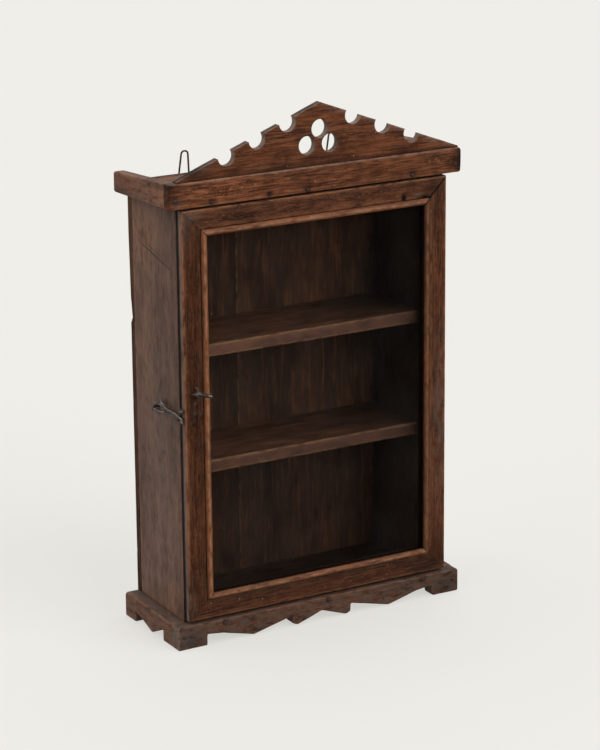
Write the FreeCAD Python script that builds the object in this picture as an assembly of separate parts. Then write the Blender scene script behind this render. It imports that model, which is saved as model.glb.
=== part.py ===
import FreeCAD, Part
import math
import os

# Wall cabinet of old stained hardwood with a glazed door, a cut crest and a cut plinth.
# Millimetres. X runs to the viewer's right, Y to the back and Z up.
# The origin is on the floor, in the middle of the width and of the whole depth.

Vector = FreeCAD.Vector

# Overall sizes
cabinet_width = 440.0        # outer faces of the cornice and of the plinth
cornice_depth = 157.0        # front face of the cornice to the back of the back boards
cabinet_height = 713.0       # floor to the crest's peak

# Carcass boards
side_thickness = 31.0
back_thickness = 12.0
top_thickness = 10.5
bottom_thickness = 16.0
shelf_thickness = 17.5
shelf_depth = 118.0
upper_shelf_top = 405.8      # height of its upper face
lower_shelf_top = 247.5
housing_depth = 6.0          # how far shelves and bottom enter the side panels
housing_end_gap = 0.3
floor_rise = 5.5             # inner floor above the plinth's upper edge

# Back boards
back_joint_x = -47.0         # joint between the two boards
back_joint_gap = 0.8
break_foot_drop = 194.0      # lower end of the left board's broken edge, below the back's upper edge
break_ledge_drop = 187.0
break_top_drop = 159.0
break_depth = 3.0
break_shallow = 1.2
worn_edge_drop = 66.0        # above this the left board's edge is sound

# Cornice and crest
cornice_thickness = 15.0
cornice_height = 33.5
tray_depth = 24.0            # cornice's front stands this far above the top board
cornice_side_fall = 9.5      # upper edge of a side board, from front to back
cornice_side_sink = 4.0      # lower edge of a side board, from front to back
crest_thickness = 11.0
crest_setback = 4.0          # behind the cornice's front face
crest_offset = 5.5           # the crest sits a little to the right of the middle
crest_end_inset = 6.0        # a crest end, before the offset, from the cornice's outer face
crest_end_height = 2.0
crest_peak_height = 83.0
crest_bit_radius = 12.0      # one boring bit made the holes and the notches
notch_first = 49.3           # from the crest's middle to the first notch
notch_pitch = 45.0
notch_count = 3
notch_sink = 3.3             # bore centre below the slope
trefoil_offset = -3.2        # middle of the lower holes, from the crest's middle
trefoil_lean = 2.0           # upper hole to the right of the middle of the lower holes
trefoil_spread = 17.3        # half the distance between the two lower holes
trefoil_low = 28.0           # lower holes above the crest's base
trefoil_high = 48.2          # upper hole above the crest's base
dowel_radius = 3.0
dowel_length = 20.0
dowel_offset = 120.0

# Plinth and its cut apron
plinth_height = 32.5
plinth_thickness = 19.5
front_foot_width = 44.0
side_front_foot = 46.0
side_rear_foot = 30.0
foot_wall = 15.5             # height of the cut beside a foot
apron_shoulder = 24.0        # length of the gentle slope beside a foot
apron_shoulder_height = 12.5
apron_tip_height = 1.0       # lowest points of the apron above the floor
apron_low_point = 106.0      # from the middle to the low point between foot and tooth
tooth_step = 46.0            # from the middle to the step beside the middle tooth
tooth_step_height = 15.3
tooth_drop_height = 4.0
tooth_tip = 38.0
tooth_slant = 0.5
apron_middle_height = 14.0
side_low_point = 79.0        # from the front face to the low point of a side apron

# Nails
nail_radius = 1.1
nail_length = 32.0
nail_head_radius = 2.3
nail_head_height = 0.7
nail_head_crown = 0.7        # outer radius of the head as a share of its base radius
nail_clearance = 0.05
cornice_nail_rise = 5.7      # above the top board's lower face
cornice_nail_places = (-159.0, -73.0, -18.0, 143.0)
corner_nail_inset = 9.0      # from the end of a front board
corner_nail_rise = 11.5      # above the lower edge of the cornice
plinth_nail_places = (-150.0, 10.0, 161.0)
plinth_nail_drop = 5.0       # below the plinth's upper edge
plinth_corner_nail_height = 18.0
side_nail_share = (0.25, 0.75)
back_nail_inset = 15.0       # from the outer edge of a back board
back_nail_drop = 6.0         # below the top board's upper face
back_nail_side_shares = (0.246, 0.541, 0.788)    # of the back's height

# Door
door_thickness = 13.0
door_bottom_gap = 3.0
door_top_gap = 3.5
frame_width = 36.0           # stiles and rails, to the edge of the opening
frame_arris = 2.5            # rounding of the outer front edge
bead_width = 9.0
bead_seat = 3.5              # how deep the bead is let in
bead_crown = 3.4             # how far it stands proud of the frame
bead_side = 0.5              # upright side of the bead above the frame
glass_thickness = 2.0
glass_rebate_width = 6.0
glass_rebate_depth = 5.0
glass_edge_gap = 0.5

# Hinges
hinge_gap = 2.0              # between the door and the side panel's front edge
leaf_clearance = 0.2
leaf_width = 22.0
leaf_height = 50.0
hinge_inset = 80.0           # from the door's end to the hinge's middle
knuckle_radius = 3.0
knuckle_side_gap = 0.4       # between the knuckle and the door's edge
knuckle_end_gap = 0.3
hinge_pin_radius = 1.3
hinge_pin_clearance = 0.05
hinge_pin_overhang = 1.0
screw_head_radius = 2.0
screw_radius = 1.1
screw_length = 9.0
screw_clearance = 0.05
screw_row = 9.0              # from the leaf's outer edge
screw_spread = 15.0          # from the hinge's middle

# Hanging wires
wire_radius = 1.0
wire_offset = 113.3          # from the middle of the back
wire_foot_drop = 20.0        # driven in this far below the top board's upper face
wire_apex_rise = 30.0        # top of the loop above the top board's upper face
wire_foot_half_width = 12.0
wire_apex_half_width = 4.6
wire_bend = 4.0
wire_anchor = 8.0            # length driven into the back board
wire_back_gap = 0.3

# Side hook, its pivot nail and its catch
hook_height = 317.0
hook_pivot_depth = 79.0      # behind the cornice's front face
hook_catch_depth = 11.5      # behind the cornice's front face
hook_stand_off = 5.0         # side panel to the middle of the hook's bar
hook_thickness = 3.2
hook_bar = 4.8
hook_eye_radius = 7.5
hook_leaf_length = 10.0
hook_leaf_rise = 9.5
hook_leaf_drop = 8.5
hook_mouth_clearance = 0.5
hook_catch_radius = 1.6
hook_catch_head_radius = 2.6
hook_pivot_radius = 2.0
hook_pivot_head_radius = 4.4
hook_pin_head = 1.6
hook_pin_depth = 9.0
hook_pin_clearance = 0.08
hook_side_gap = 0.4          # between the hook and the pivot's head
tail_radius = 1.3
tail_rise = 12.0
tail_start = 13.0            # in front of the pivot
tail_length = 22.0
tail_fall = 5.5

# Pull on the left stile
pull_height = 351.0
pull_inset = 16.5            # from the door's left edge
pull_stand_off = 6.5         # door face to the staple's outer wire
pull_wire_radius = 1.4
pull_staple_half_height = 6.0
pull_staple_bend = 2.6
pull_staple_anchor = 8.0
pull_eye_radius = 4.2
pull_eye_height = 4.2
pull_eye_clearance = 0.08
pull_bar_radius = 1.9
pull_tip_radius = 1.5
pull_length = 26.5
pull_tail = 6.0
pull_angle = 28.0            # from straight ahead towards the right

# Cutting shapes reach this far past the faces that they cut
overrun = 1.0

# Places that follow from the sizes
half_width = cabinet_width / 2
case_half = half_width - plinth_thickness
inner_half = case_half - side_thickness
cornice_half = half_width - cornice_thickness
crest_half_length = half_width - crest_end_inset
cornice_top = cabinet_height - crest_peak_height
cornice_bottom = cornice_top - cornice_height
top_board_top = cornice_top - tray_depth
top_board_bottom = top_board_top - top_thickness
wire_foot_height = top_board_top - wire_foot_drop
wire_apex_height = top_board_top + wire_apex_rise
floor_top = plinth_height + floor_rise
case_bottom = floor_top - bottom_thickness
door_bottom = plinth_height + door_bottom_gap
door_top = cornice_bottom - door_top_gap
door_recess = plinth_thickness - door_thickness - hinge_gap
pull_turn = math.radians(pull_angle)
pull_reach = (pull_stand_off + pull_length * math.cos(pull_turn)
              + pull_tip_radius * math.sin(pull_turn))
wire_reach = wire_back_gap + 2 * wire_radius
back_face = (cornice_depth - door_recess + pull_reach - wire_reach) / 2
front_face = back_face - cornice_depth
back_inner = back_face - back_thickness
case_front = front_face + plinth_thickness
door_front = front_face + door_recess
door_back = door_front + door_thickness
hinge_y = door_back + hinge_gap / 2
hinge_x = case_half + knuckle_side_gap + knuckle_radius
door_half = case_half
opening_half = door_half - frame_width

LEFT = -1
RIGHT = 1
FORWARD = Vector(0, -1, 0)
BACKWARD = Vector(0, 1, 0)
UP = Vector(0, 0, 1)


# Shape helpers
def block(x_range, y_range, z_range):
    """Rectangular board between two limits along each axis."""
    low = Vector(min(x_range), min(y_range), min(z_range))
    high = Vector(max(x_range), max(y_range), max(z_range))
    size = high - low
    return Part.makeBox(size.x, size.y, size.z, low)


def front_plate(outline, y_front, y_back):
    """Board cut to an outline of (x, z) points, between two depths."""
    points = [Vector(x, y_front, z) for x, z in outline]
    face = Part.Face(Part.makePolygon(points + points[:1]))
    return face.extrude(Vector(0, y_back - y_front, 0))


def side_plate(outline, x_start, x_end):
    """Board cut to an outline of (y, z) points, between two places across the width."""
    points = [Vector(x_start, y, z) for y, z in outline]
    face = Part.Face(Part.makePolygon(points + points[:1]))
    return face.extrude(Vector(x_end - x_start, 0, 0))


def rod(start, end, radius):
    """Round bar from one point to another."""
    run = end - start
    return Part.makeCylinder(radius, run.Length, start, run)


def bent_wire(points, bend_radius, wire_size):
    """Round wire along straight runs joined by tangent bends."""
    edges = []
    cursor = points[0]
    for before, corner, after in zip(points, points[1:], points[2:]):
        back = (before - corner).normalize()
        ahead = (after - corner).normalize()
        half_turn = back.getAngle(ahead) / 2
        reach = bend_radius / math.tan(half_turn)
        middle = (back + ahead).normalize() * (bend_radius / math.sin(half_turn) - bend_radius)
        edges.append(Part.LineSegment(cursor, corner + back * reach).toShape())
        arc = Part.Arc(corner + back * reach, corner + middle, corner + ahead * reach)
        edges.append(arc.toShape())
        cursor = corner + ahead * reach
    edges.append(Part.LineSegment(cursor, points[-1]).toShape())
    section = Part.Wire(Part.makeCircle(wire_size, points[0], points[1] - points[0]))
    return Part.Wire(edges).makePipeShell([section], True, False)


def cut_all(body, tools):
    """The body with every tool taken out of it."""
    for tool in tools:
        body = body.cut(tool)
    return body


def fuse_all(pieces):
    """The pieces joined into one solid."""
    whole = pieces[0]
    for piece in pieces[1:]:
        whole = whole.fuse(piece)
    return whole.removeSplitter()


def mirrored(points):
    """An outline's right half followed by its mirror image about the middle."""
    return points + [(-x, z) for x, z in reversed(points)]


# Nails
def nail(place):
    """Round nail whose head lies on the wood at the place's point."""
    point, inward = place
    shank = Part.makeCylinder(nail_radius, nail_length, point, inward)
    crown = nail_head_radius * nail_head_crown
    head = Part.makeCone(nail_head_radius, crown, nail_head_height, point, inward * -1)
    return head.fuse(shank)


def nail_hole(place):
    """Hole that the nail's shank runs in."""
    point, inward = place
    return Part.makeCylinder(nail_radius + nail_clearance, nail_length + nail_clearance, point, inward)


def cornice_nail_list():
    """Nails of the cornice: along the front, at its corners and through the sides."""
    front_height = top_board_bottom + cornice_nail_rise
    places = [(Vector(x, front_face, front_height), BACKWARD) for x in cornice_nail_places]
    corner_height = cornice_bottom + corner_nail_rise
    run = back_face - front_face - cornice_thickness
    for side in (LEFT, RIGHT):
        corner = Vector(side * (half_width - corner_nail_inset), front_face, corner_height)
        places.append((corner, BACKWARD))
        for share in side_nail_share:
            depth = front_face + cornice_thickness + share * run
            places.append((Vector(side * half_width, depth, front_height), Vector(-side, 0, 0)))
    return places


def plinth_nail_list():
    """Nails of the plinth: along the front, at its corners and through the sides."""
    front_height = plinth_height - plinth_nail_drop
    places = [(Vector(x, front_face, front_height), BACKWARD) for x in plinth_nail_places]
    run = back_face - front_face - plinth_thickness
    for side in (LEFT, RIGHT):
        across = side * (half_width - corner_nail_inset)
        places.append((Vector(across, front_face, plinth_corner_nail_height), BACKWARD))
        for share in side_nail_share:
            depth = case_front + share * run
            places.append((Vector(side * half_width, depth, front_height), Vector(-side, 0, 0)))
    return places


def back_nail_list():
    """Nails that hold the back boards on the side panels and on the top board."""
    across = case_half - back_nail_inset
    places = []
    for side in (LEFT, RIGHT):
        for height in (share * top_board_top for share in back_nail_side_shares):
            places.append((Vector(side * across, back_face, height), FORWARD))
        for x in (side * across, back_joint_x + side * back_nail_inset):
            places.append((Vector(x, back_face, top_board_top - back_nail_drop), FORWARD))
    return places


CORNICE_NAILS = cornice_nail_list()
PLINTH_NAILS = plinth_nail_list()
BACK_NAILS = back_nail_list()
CORNICE_HOLES = [nail_hole(place) for place in CORNICE_NAILS]
PLINTH_HOLES = [nail_hole(place) for place in PLINTH_NAILS]
BACK_HOLES = [nail_hole(place) for place in BACK_NAILS]


# Hinges
def hinge_middles():
    """Heights of the two hinges' middles, by name."""
    return {"upper": door_top - hinge_inset, "lower": door_bottom + hinge_inset}


def hinge_screw_places(on_door):
    """Points and directions of the screws in the fixed leaves or in the door leaves."""
    depth = hinge_y - leaf_clearance / 2 if on_door else hinge_y + leaf_clearance / 2
    inward = FORWARD if on_door else BACKWARD
    across = case_half - leaf_width + screw_row
    places = []
    for middle in hinge_middles().values():
        for side in (LEFT, RIGHT):
            places.append((Vector(across, depth, middle + side * screw_spread), inward))
    return places


def leaf_thickness():
    """One leaf fills half of the gap, less the clearance between the leaves."""
    return (hinge_gap - leaf_clearance) / 2


def hinge_screw(place):
    """Screw with a flat head that lies in its leaf."""
    point, inward = place
    head = Part.makeCylinder(screw_head_radius, leaf_thickness(), point, inward)
    shank = Part.makeCylinder(screw_radius, leaf_thickness() + screw_length, point, inward)
    return head.fuse(shank)


def hinge_screw_room(place):
    """Space that a screw takes in the leaf and in the wood."""
    point, inward = place
    radius = screw_head_radius + screw_clearance
    head = Part.makeCylinder(radius, leaf_thickness(), point, inward)
    depth = leaf_thickness() + screw_length + screw_clearance
    shank = Part.makeCylinder(screw_radius + screw_clearance, depth, point, inward)
    return head.fuse(shank)


def hinge_leaf(middle, on_door):
    """One leaf: a plate in the gap and its share of the knuckles."""
    near = hinge_y - leaf_clearance / 2 if on_door else hinge_y + leaf_clearance / 2
    far = near - leaf_thickness() if on_door else near + leaf_thickness()
    third = leaf_height / 3
    low = middle - leaf_height / 2
    if on_door:
        spans = [(low + third + knuckle_end_gap / 2, low + 2 * third - knuckle_end_gap / 2)]
    else:
        spans = [(low, low + third - knuckle_end_gap / 2),
                 (low + 2 * third + knuckle_end_gap / 2, low + leaf_height)]
    plate_end = hinge_x - knuckle_radius - knuckle_side_gap
    plate = block((case_half - leaf_width, plate_end), (near, far), (low, low + leaf_height))
    pieces = [plate]
    for start, end in spans:
        pieces.append(block((plate_end, hinge_x), (near, far), (start, end)))
        pieces.append(rod(Vector(hinge_x, hinge_y, start), Vector(hinge_x, hinge_y, end), knuckle_radius))
    bore_low = Vector(hinge_x, hinge_y, low - overrun)
    bore_high = Vector(hinge_x, hinge_y, low + leaf_height + overrun)
    bore = rod(bore_low, bore_high, hinge_pin_radius + hinge_pin_clearance)
    rooms = [hinge_screw_room(place) for place in hinge_screw_places(on_door)]
    return cut_all(fuse_all(pieces), [bore] + rooms)


def hinge_pin(middle):
    """Pin through the knuckles."""
    reach = leaf_height / 2 + hinge_pin_overhang
    axis_point = Vector(hinge_x, hinge_y, middle)
    return rod(axis_point - UP * reach, axis_point + UP * reach, hinge_pin_radius)


# Carcass
def shelf_spans():
    """Depth and height ranges of the boards that are housed in the side panels, by name."""
    shelf_front = back_inner - shelf_depth
    return {
        "bottom_board": ((case_front, back_inner), (case_bottom, floor_top)),
        "upper_shelf": ((shelf_front, back_inner), (upper_shelf_top - shelf_thickness, upper_shelf_top)),
        "lower_shelf": ((shelf_front, back_inner), (lower_shelf_top - shelf_thickness, lower_shelf_top)),
    }


def side_panel(side):
    """Side plank with its housings, nail holes and screw holes."""
    panel = block((side * inner_half, side * case_half), (case_front, back_inner),
                  (case_bottom, top_board_bottom))
    housing_end = inner_half + housing_depth
    tools = [block((side * inner_half, side * housing_end), depth, height)
             for depth, height in shelf_spans().values()]
    tools += PLINTH_HOLES + BACK_HOLES
    if side == RIGHT:
        tools += [hinge_screw_room(place) for place in hinge_screw_places(False)]
    else:
        tools.append(hook_pivot_room())
    return cut_all(panel, tools)


def housed_board(name):
    """Shelf or bottom board, from housing to housing."""
    depth, height = shelf_spans()[name]
    end = inner_half + housing_depth - housing_end_gap
    return cut_all(block((-end, end), depth, height), PLINTH_HOLES)


def top_board():
    """Board that carries the cornice and lies on the side panels."""
    board = block((-cornice_half, cornice_half), (front_face + cornice_thickness, back_inner),
                  (top_board_bottom, top_board_top))
    return cut_all(board, CORNICE_HOLES + BACK_HOLES)


def back_board_left():
    """Left back board, with a piece broken out of its outer edge."""
    joint = back_joint_x - back_joint_gap / 2
    outline = [
        (-case_half, top_board_top),
        (joint, top_board_top),
        (joint, case_bottom),
        (-case_half, case_bottom),
        (-case_half, top_board_top - break_foot_drop),
        (-case_half + break_depth, top_board_top - break_ledge_drop),
        (-case_half + break_shallow, top_board_top - break_top_drop),
        (-case_half, top_board_top - worn_edge_drop),
    ]
    return cut_all(front_plate(outline, back_inner, back_face), BACK_HOLES + wire_rooms(LEFT))


def back_board_right():
    """Right back board."""
    joint = back_joint_x + back_joint_gap / 2
    board = block((joint, case_half), (back_inner, back_face), (case_bottom, top_board_top))
    return cut_all(board, BACK_HOLES + wire_rooms(RIGHT))


# Cornice and crest
def cornice_front():
    """Front board of the cornice, over the ends of the side boards."""
    board = block((-half_width, half_width), (front_face, front_face + cornice_thickness),
                  (cornice_bottom, cornice_top))
    return cut_all(board, CORNICE_HOLES + dowel_rooms())


def cornice_side(side):
    """Side board of the cornice, lower and a little narrower at the back."""
    front_end = front_face + cornice_thickness
    outline = [
        (front_end, cornice_bottom),
        (back_face, cornice_bottom - cornice_side_sink),
        (back_face, cornice_top - cornice_side_fall),
        (front_end, cornice_top),
    ]
    return cut_all(side_plate(outline, side * cornice_half, side * half_width), CORNICE_HOLES)


def crest_slope(distance):
    """Height of the crest's slope above its base, at a distance from its middle."""
    fall = (crest_peak_height - crest_end_height) / crest_half_length
    return crest_peak_height - fall * distance


def crest_bore(across, height):
    """Round cut through the crest at a place counted from the middle of its base."""
    y_front = front_face + crest_setback
    centre = Vector(crest_offset + across, y_front - overrun, cornice_top + height)
    return Part.makeCylinder(crest_bit_radius, crest_thickness + 2 * overrun, centre, BACKWARD)


def crest_board():
    """Peaked board on the cornice, with notched slopes and three holes."""
    y_front = front_face + crest_setback
    right_half = [(crest_half_length, 0), (crest_half_length, crest_end_height), (0, crest_peak_height)]
    outline = [(crest_offset + x, cornice_top + z)
               for x, z in right_half + [(-crest_half_length, crest_end_height), (-crest_half_length, 0)]]
    bores = [crest_bore(trefoil_offset + trefoil_lean, trefoil_high)]
    for side in (LEFT, RIGHT):
        bores.append(crest_bore(trefoil_offset + side * trefoil_spread, trefoil_low))
        for number in range(notch_count):
            distance = notch_first + number * notch_pitch
            bores.append(crest_bore(side * distance, crest_slope(distance) - notch_sink))
    return cut_all(front_plate(outline, y_front, y_front + crest_thickness), bores + dowel_rooms())


def crest_dowels(clearance=0.0):
    """Dowels half in the cornice and half in the crest."""
    depth = front_face + crest_setback + crest_thickness / 2
    reach = dowel_length / 2 + clearance
    dowels = []
    for across in (-dowel_offset, 0.0, dowel_offset):
        seat = Vector(crest_offset + across, depth, cornice_top)
        dowels.append(rod(seat - UP * reach, seat + UP * reach, dowel_radius + clearance))
    return dowels


def dowel_rooms():
    """Holes for the dowels."""
    return crest_dowels(nail_clearance)


# Plinth
def plinth_front():
    """Front board of the plinth with feet, low points and a middle tooth."""
    foot = half_width - front_foot_width
    right_half = [
        (0.0, apron_middle_height),
        (tooth_tip, apron_tip_height),
        (tooth_step - tooth_slant, tooth_drop_height),
        (tooth_step, tooth_step_height),
        (apron_low_point, apron_tip_height),
        (foot - apron_shoulder, apron_shoulder_height),
        (foot, foot_wall),
        (foot, 0.0),
        (half_width, 0.0),
        (half_width, plinth_height),
    ]
    outline = mirrored(right_half)[:-1]
    return cut_all(front_plate(outline, front_face, case_front), PLINTH_HOLES)


def plinth_side(side):
    """Side board of the plinth, with the rest of the front foot and a rear foot."""
    front_wall = front_face + side_front_foot
    rear_wall = back_face - side_rear_foot
    outline = [
        (case_front, plinth_height),
        (case_front, 0.0),
        (front_wall, 0.0),
        (front_wall, foot_wall),
        (front_face + side_low_point, apron_tip_height),
        (rear_wall - apron_shoulder / 2, apron_shoulder_height),
        (rear_wall, foot_wall),
        (rear_wall, 0.0),
        (back_face, 0.0),
        (back_face, plinth_height),
    ]
    return cut_all(side_plate(outline, side * case_half, side * half_width), PLINTH_HOLES)


# Hanging wires
def hanging_wire(side, clearance=0.0):
    """Wire loop on the back, with both ends driven into the back board."""
    depth = back_face + wire_back_gap + wire_radius
    inner = back_face - wire_anchor - clearance
    middle = side * wire_offset
    points = [
        Vector(middle - wire_foot_half_width, inner, wire_foot_height),
        Vector(middle - wire_foot_half_width, depth, wire_foot_height),
        Vector(middle - wire_apex_half_width, depth, wire_apex_height - wire_radius),
        Vector(middle + wire_apex_half_width, depth, wire_apex_height - wire_radius),
        Vector(middle + wire_foot_half_width, depth, wire_foot_height),
        Vector(middle + wire_foot_half_width, inner, wire_foot_height),
    ]
    return bent_wire(points, wire_bend, wire_radius + clearance)


def wire_rooms(side):
    """Space of a wire's driven ends."""
    return [hanging_wire(side, nail_clearance)]


# Door
def section_bar(section, place, run):
    """Bar of a constant section: (inset, depth) points put in place and drawn along a run.

    A point with a third entry is the middle of an arc between its neighbours.
    """
    spots = [(place(point[0], point[1]), len(point) == 3) for point in section]
    edges = []
    count = len(spots)
    for index, (spot, on_arc) in enumerate(spots):
        after, after_on_arc = spots[(index + 1) % count]
        if on_arc:
            edges.append(Part.Arc(spots[index - 1][0], spot, after).toShape())
        elif not after_on_arc:
            edges.append(Part.LineSegment(spot, after).toShape())
    return Part.Face(Part.Wire(edges)).extrude(run)


def mitred_ring(section, inset, width):
    """Four bars round the door with mitred ends, by name of their side.

    inset is the distance of the ring's outer edge from the door's edge, width is its bars'.
    """
    across = door_half - inset
    low = door_bottom + inset
    high = door_top - inset
    length = 2 * across
    height = high - low
    bars = {
        "left": section_bar(section, lambda w, d: Vector(-across + w, door_front + d, low),
                            Vector(0, 0, height)),
        "right": section_bar(section, lambda w, d: Vector(across - w, door_front + d, low),
                             Vector(0, 0, height)),
        "bottom": section_bar(section, lambda w, d: Vector(-across, door_front + d, low + w),
                              Vector(length, 0, 0)),
        "top": section_bar(section, lambda w, d: Vector(-across, door_front + d, high - w),
                           Vector(length, 0, 0)),
    }
    inner = across - width
    inner_low = low + width
    inner_high = high - width
    corners = {
        "left": [(-across, low), (-across, high), (-inner, inner_high), (-inner, inner_low)],
        "right": [(across, low), (across, high), (inner, inner_high), (inner, inner_low)],
        "bottom": [(-across, low), (across, low), (inner, inner_low), (-inner, inner_low)],
        "top": [(-across, high), (across, high), (inner, inner_high), (-inner, inner_high)],
    }
    front = door_front - door_thickness
    back = door_back + door_thickness
    return {name: bar.common(front_plate(corners[name], front, back)) for name, bar in bars.items()}


def frame_section():
    """Stile and rail section: rounded arris, seat for the bead, rebate for the glass."""
    corner = frame_arris * (1 - math.sqrt(0.5))
    seat_edge = frame_width - bead_width
    rebate_edge = frame_width - glass_rebate_width
    return [
        (0.0, frame_arris),
        (corner, corner, "arc"),
        (frame_arris, 0.0),
        (seat_edge, 0.0),
        (seat_edge, bead_seat),
        (frame_width, bead_seat),
        (frame_width, door_thickness - glass_rebate_depth),
        (rebate_edge, door_thickness - glass_rebate_depth),
        (rebate_edge, door_thickness),
        (0.0, door_thickness),
    ]


def bead_section():
    """Half-round bead in its seat."""
    return [
        (0.0, bead_seat),
        (0.0, -bead_side),
        (bead_width / 2, -bead_crown, "arc"),
        (bead_width, -bead_side),
        (bead_width, bead_seat),
    ]


def glazing_section():
    """Square strip behind the glass."""
    front = door_thickness - glass_rebate_depth + glass_thickness
    return [
        (0.0, front),
        (glass_rebate_width, front),
        (glass_rebate_width, door_thickness),
        (0.0, door_thickness),
    ]


def door_frame():
    """Stiles and rails with the holes of what is driven into them."""
    bars = mitred_ring(frame_section(), 0.0, frame_width)
    rooms = [hinge_screw_room(place) for place in hinge_screw_places(True)]
    bars["right"] = cut_all(bars["right"], rooms)
    bars["left"] = cut_all(bars["left"], [pull_staple(nail_clearance), hook_catch_room()])
    return bars


def door_glass():
    """Pane in the rebate, behind the frame's tongue."""
    across = opening_half + glass_rebate_width - glass_edge_gap
    inset = frame_width - glass_rebate_width + glass_edge_gap
    front = door_back - glass_rebate_depth
    heights = (door_bottom + inset, door_top - inset)
    return block((-across, across), (front, front + glass_thickness), heights)


# Side hook
def hook_plane():
    """Place across the width of the middle of the hook's bar."""
    return -case_half - hook_stand_off


def hook_pivot_point():
    """Point on the side panel where the pivot nail goes in."""
    return Vector(-case_half, front_face + hook_pivot_depth, hook_height)


def headed_pin(point, reach, radius, head_radius):
    """Round pin along X, driven in at the point and standing out by its reach."""
    outward = Vector(-1, 0, 0)
    shank = rod(point - outward * hook_pin_depth, point + outward * reach, radius)
    head = Part.makeCone(head_radius, radius, hook_pin_head, point + outward * reach, outward)
    return shank.fuse(head)


def hook_reach():
    """How far a pin stands out so that its head clears the hook."""
    return hook_stand_off + hook_thickness / 2 + hook_side_gap


def hook_pivot():
    """Nail that the hook turns on."""
    return headed_pin(hook_pivot_point(), hook_reach(), hook_pivot_radius, hook_pivot_head_radius)


def hook_pivot_room():
    """Hole of the pivot nail."""
    point = hook_pivot_point()
    depth = Vector(hook_pin_depth + nail_clearance, 0, 0)
    return rod(point, point + depth, hook_pivot_radius + nail_clearance)


def hook_catch_point():
    """Point on the door's left edge where the catch nail goes in."""
    return Vector(-door_half, front_face + hook_catch_depth, hook_height)


def hook_catch():
    """Nail on the door's edge that the hook holds."""
    return headed_pin(hook_catch_point(), hook_reach(), hook_catch_radius, hook_catch_head_radius)


def hook_catch_room():
    """Hole of the catch nail."""
    point = hook_catch_point()
    depth = Vector(hook_pin_depth + nail_clearance, 0, 0)
    return rod(point, point + depth, hook_catch_radius + nail_clearance)


def side_hook():
    """Forged hook: eye on the pivot, flat bar, leaf-shaped end with a mouth, and a thumb tail."""
    low = hook_plane() - hook_thickness / 2
    high = hook_plane() + hook_thickness / 2
    pivot = hook_pivot_point()
    catch = hook_catch_point()
    mouth = hook_catch_radius + hook_mouth_clearance
    eye = rod(Vector(low, pivot.y, pivot.z), Vector(high, pivot.y, pivot.z), hook_eye_radius)
    bar_top = hook_height + hook_bar / 2 + mouth
    bar_bottom = bar_top - hook_bar
    leaf_back = catch.y + hook_leaf_length / 2
    leaf_front = catch.y - hook_leaf_length / 2
    leaf_top = hook_height + hook_leaf_rise
    leaf_bottom = hook_height - hook_leaf_drop
    bar = side_plate([
        (pivot.y, bar_bottom),
        (pivot.y, bar_top),
        (leaf_back, bar_top),
        (catch.y, leaf_top),
        (leaf_front, (leaf_top + bar_top) / 2),
        (leaf_front, hook_height),
        (leaf_front + mouth / 2, leaf_bottom),
        (catch.y - mouth, leaf_bottom),
        (catch.y - mouth, hook_height),
        (catch.y + mouth, hook_height),
        (catch.y + mouth, bar_bottom),
    ], low, high)
    mouth_round = rod(Vector(low - overrun, catch.y, hook_height),
                      Vector(high + overrun, catch.y, hook_height), mouth)
    tail_top = Vector(hook_plane(), pivot.y - tail_start, hook_height + tail_rise)
    tail_root = Vector(hook_plane(), pivot.y, hook_height + hook_eye_radius - tail_radius)
    tail_tip = tail_top + Vector(0, -tail_length, -tail_fall)
    tail = bent_wire([tail_root, tail_top, tail_tip], tail_radius * 2, tail_radius)
    bore_radius = hook_pivot_radius + hook_pin_clearance
    bore_start = Vector(low - overrun, pivot.y, pivot.z)
    bore_end = Vector(high + overrun, pivot.y, pivot.z)
    bore = rod(bore_start, bore_end, bore_radius)
    return cut_all(fuse_all([eye, bar, tail]), [bore, mouth_round])


# Pull
def pull_axis_point():
    """Middle of the staple's outer wire, which the pull turns about."""
    return Vector(-door_half + pull_inset, door_front - pull_stand_off, pull_height)


def pull_staple(clearance=0.0):
    """Upright staple on the stile, with both legs driven in."""
    axis = pull_axis_point()
    leg = Vector(0, pull_stand_off + pull_staple_anchor + clearance, 0)
    rise = UP * pull_staple_half_height
    points = [axis + leg + rise, axis + rise, axis - rise, axis + leg - rise]
    return bent_wire(points, pull_staple_bend, pull_wire_radius + clearance)


def pull_bar():
    """Bar pull with an eye about the staple's outer wire and a tapering end."""
    axis = pull_axis_point()
    ahead = Vector(math.sin(pull_turn), -math.cos(pull_turn), 0)
    half = UP * (pull_eye_height / 2)
    eye = rod(axis - half, axis + half, pull_eye_radius)
    taper = Part.makeCone(pull_bar_radius, pull_tip_radius, pull_length, axis, ahead)
    tail_reach = pull_eye_radius + pull_tail
    across = Vector(-1, 0, 0)
    tail = Part.makeCone(pull_bar_radius, pull_tip_radius, tail_reach, axis, across)
    bore = rod(axis - half * 2, axis + half * 2, pull_wire_radius + pull_eye_clearance)
    return fuse_all([eye, taper, tail]).cut(bore)


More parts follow.
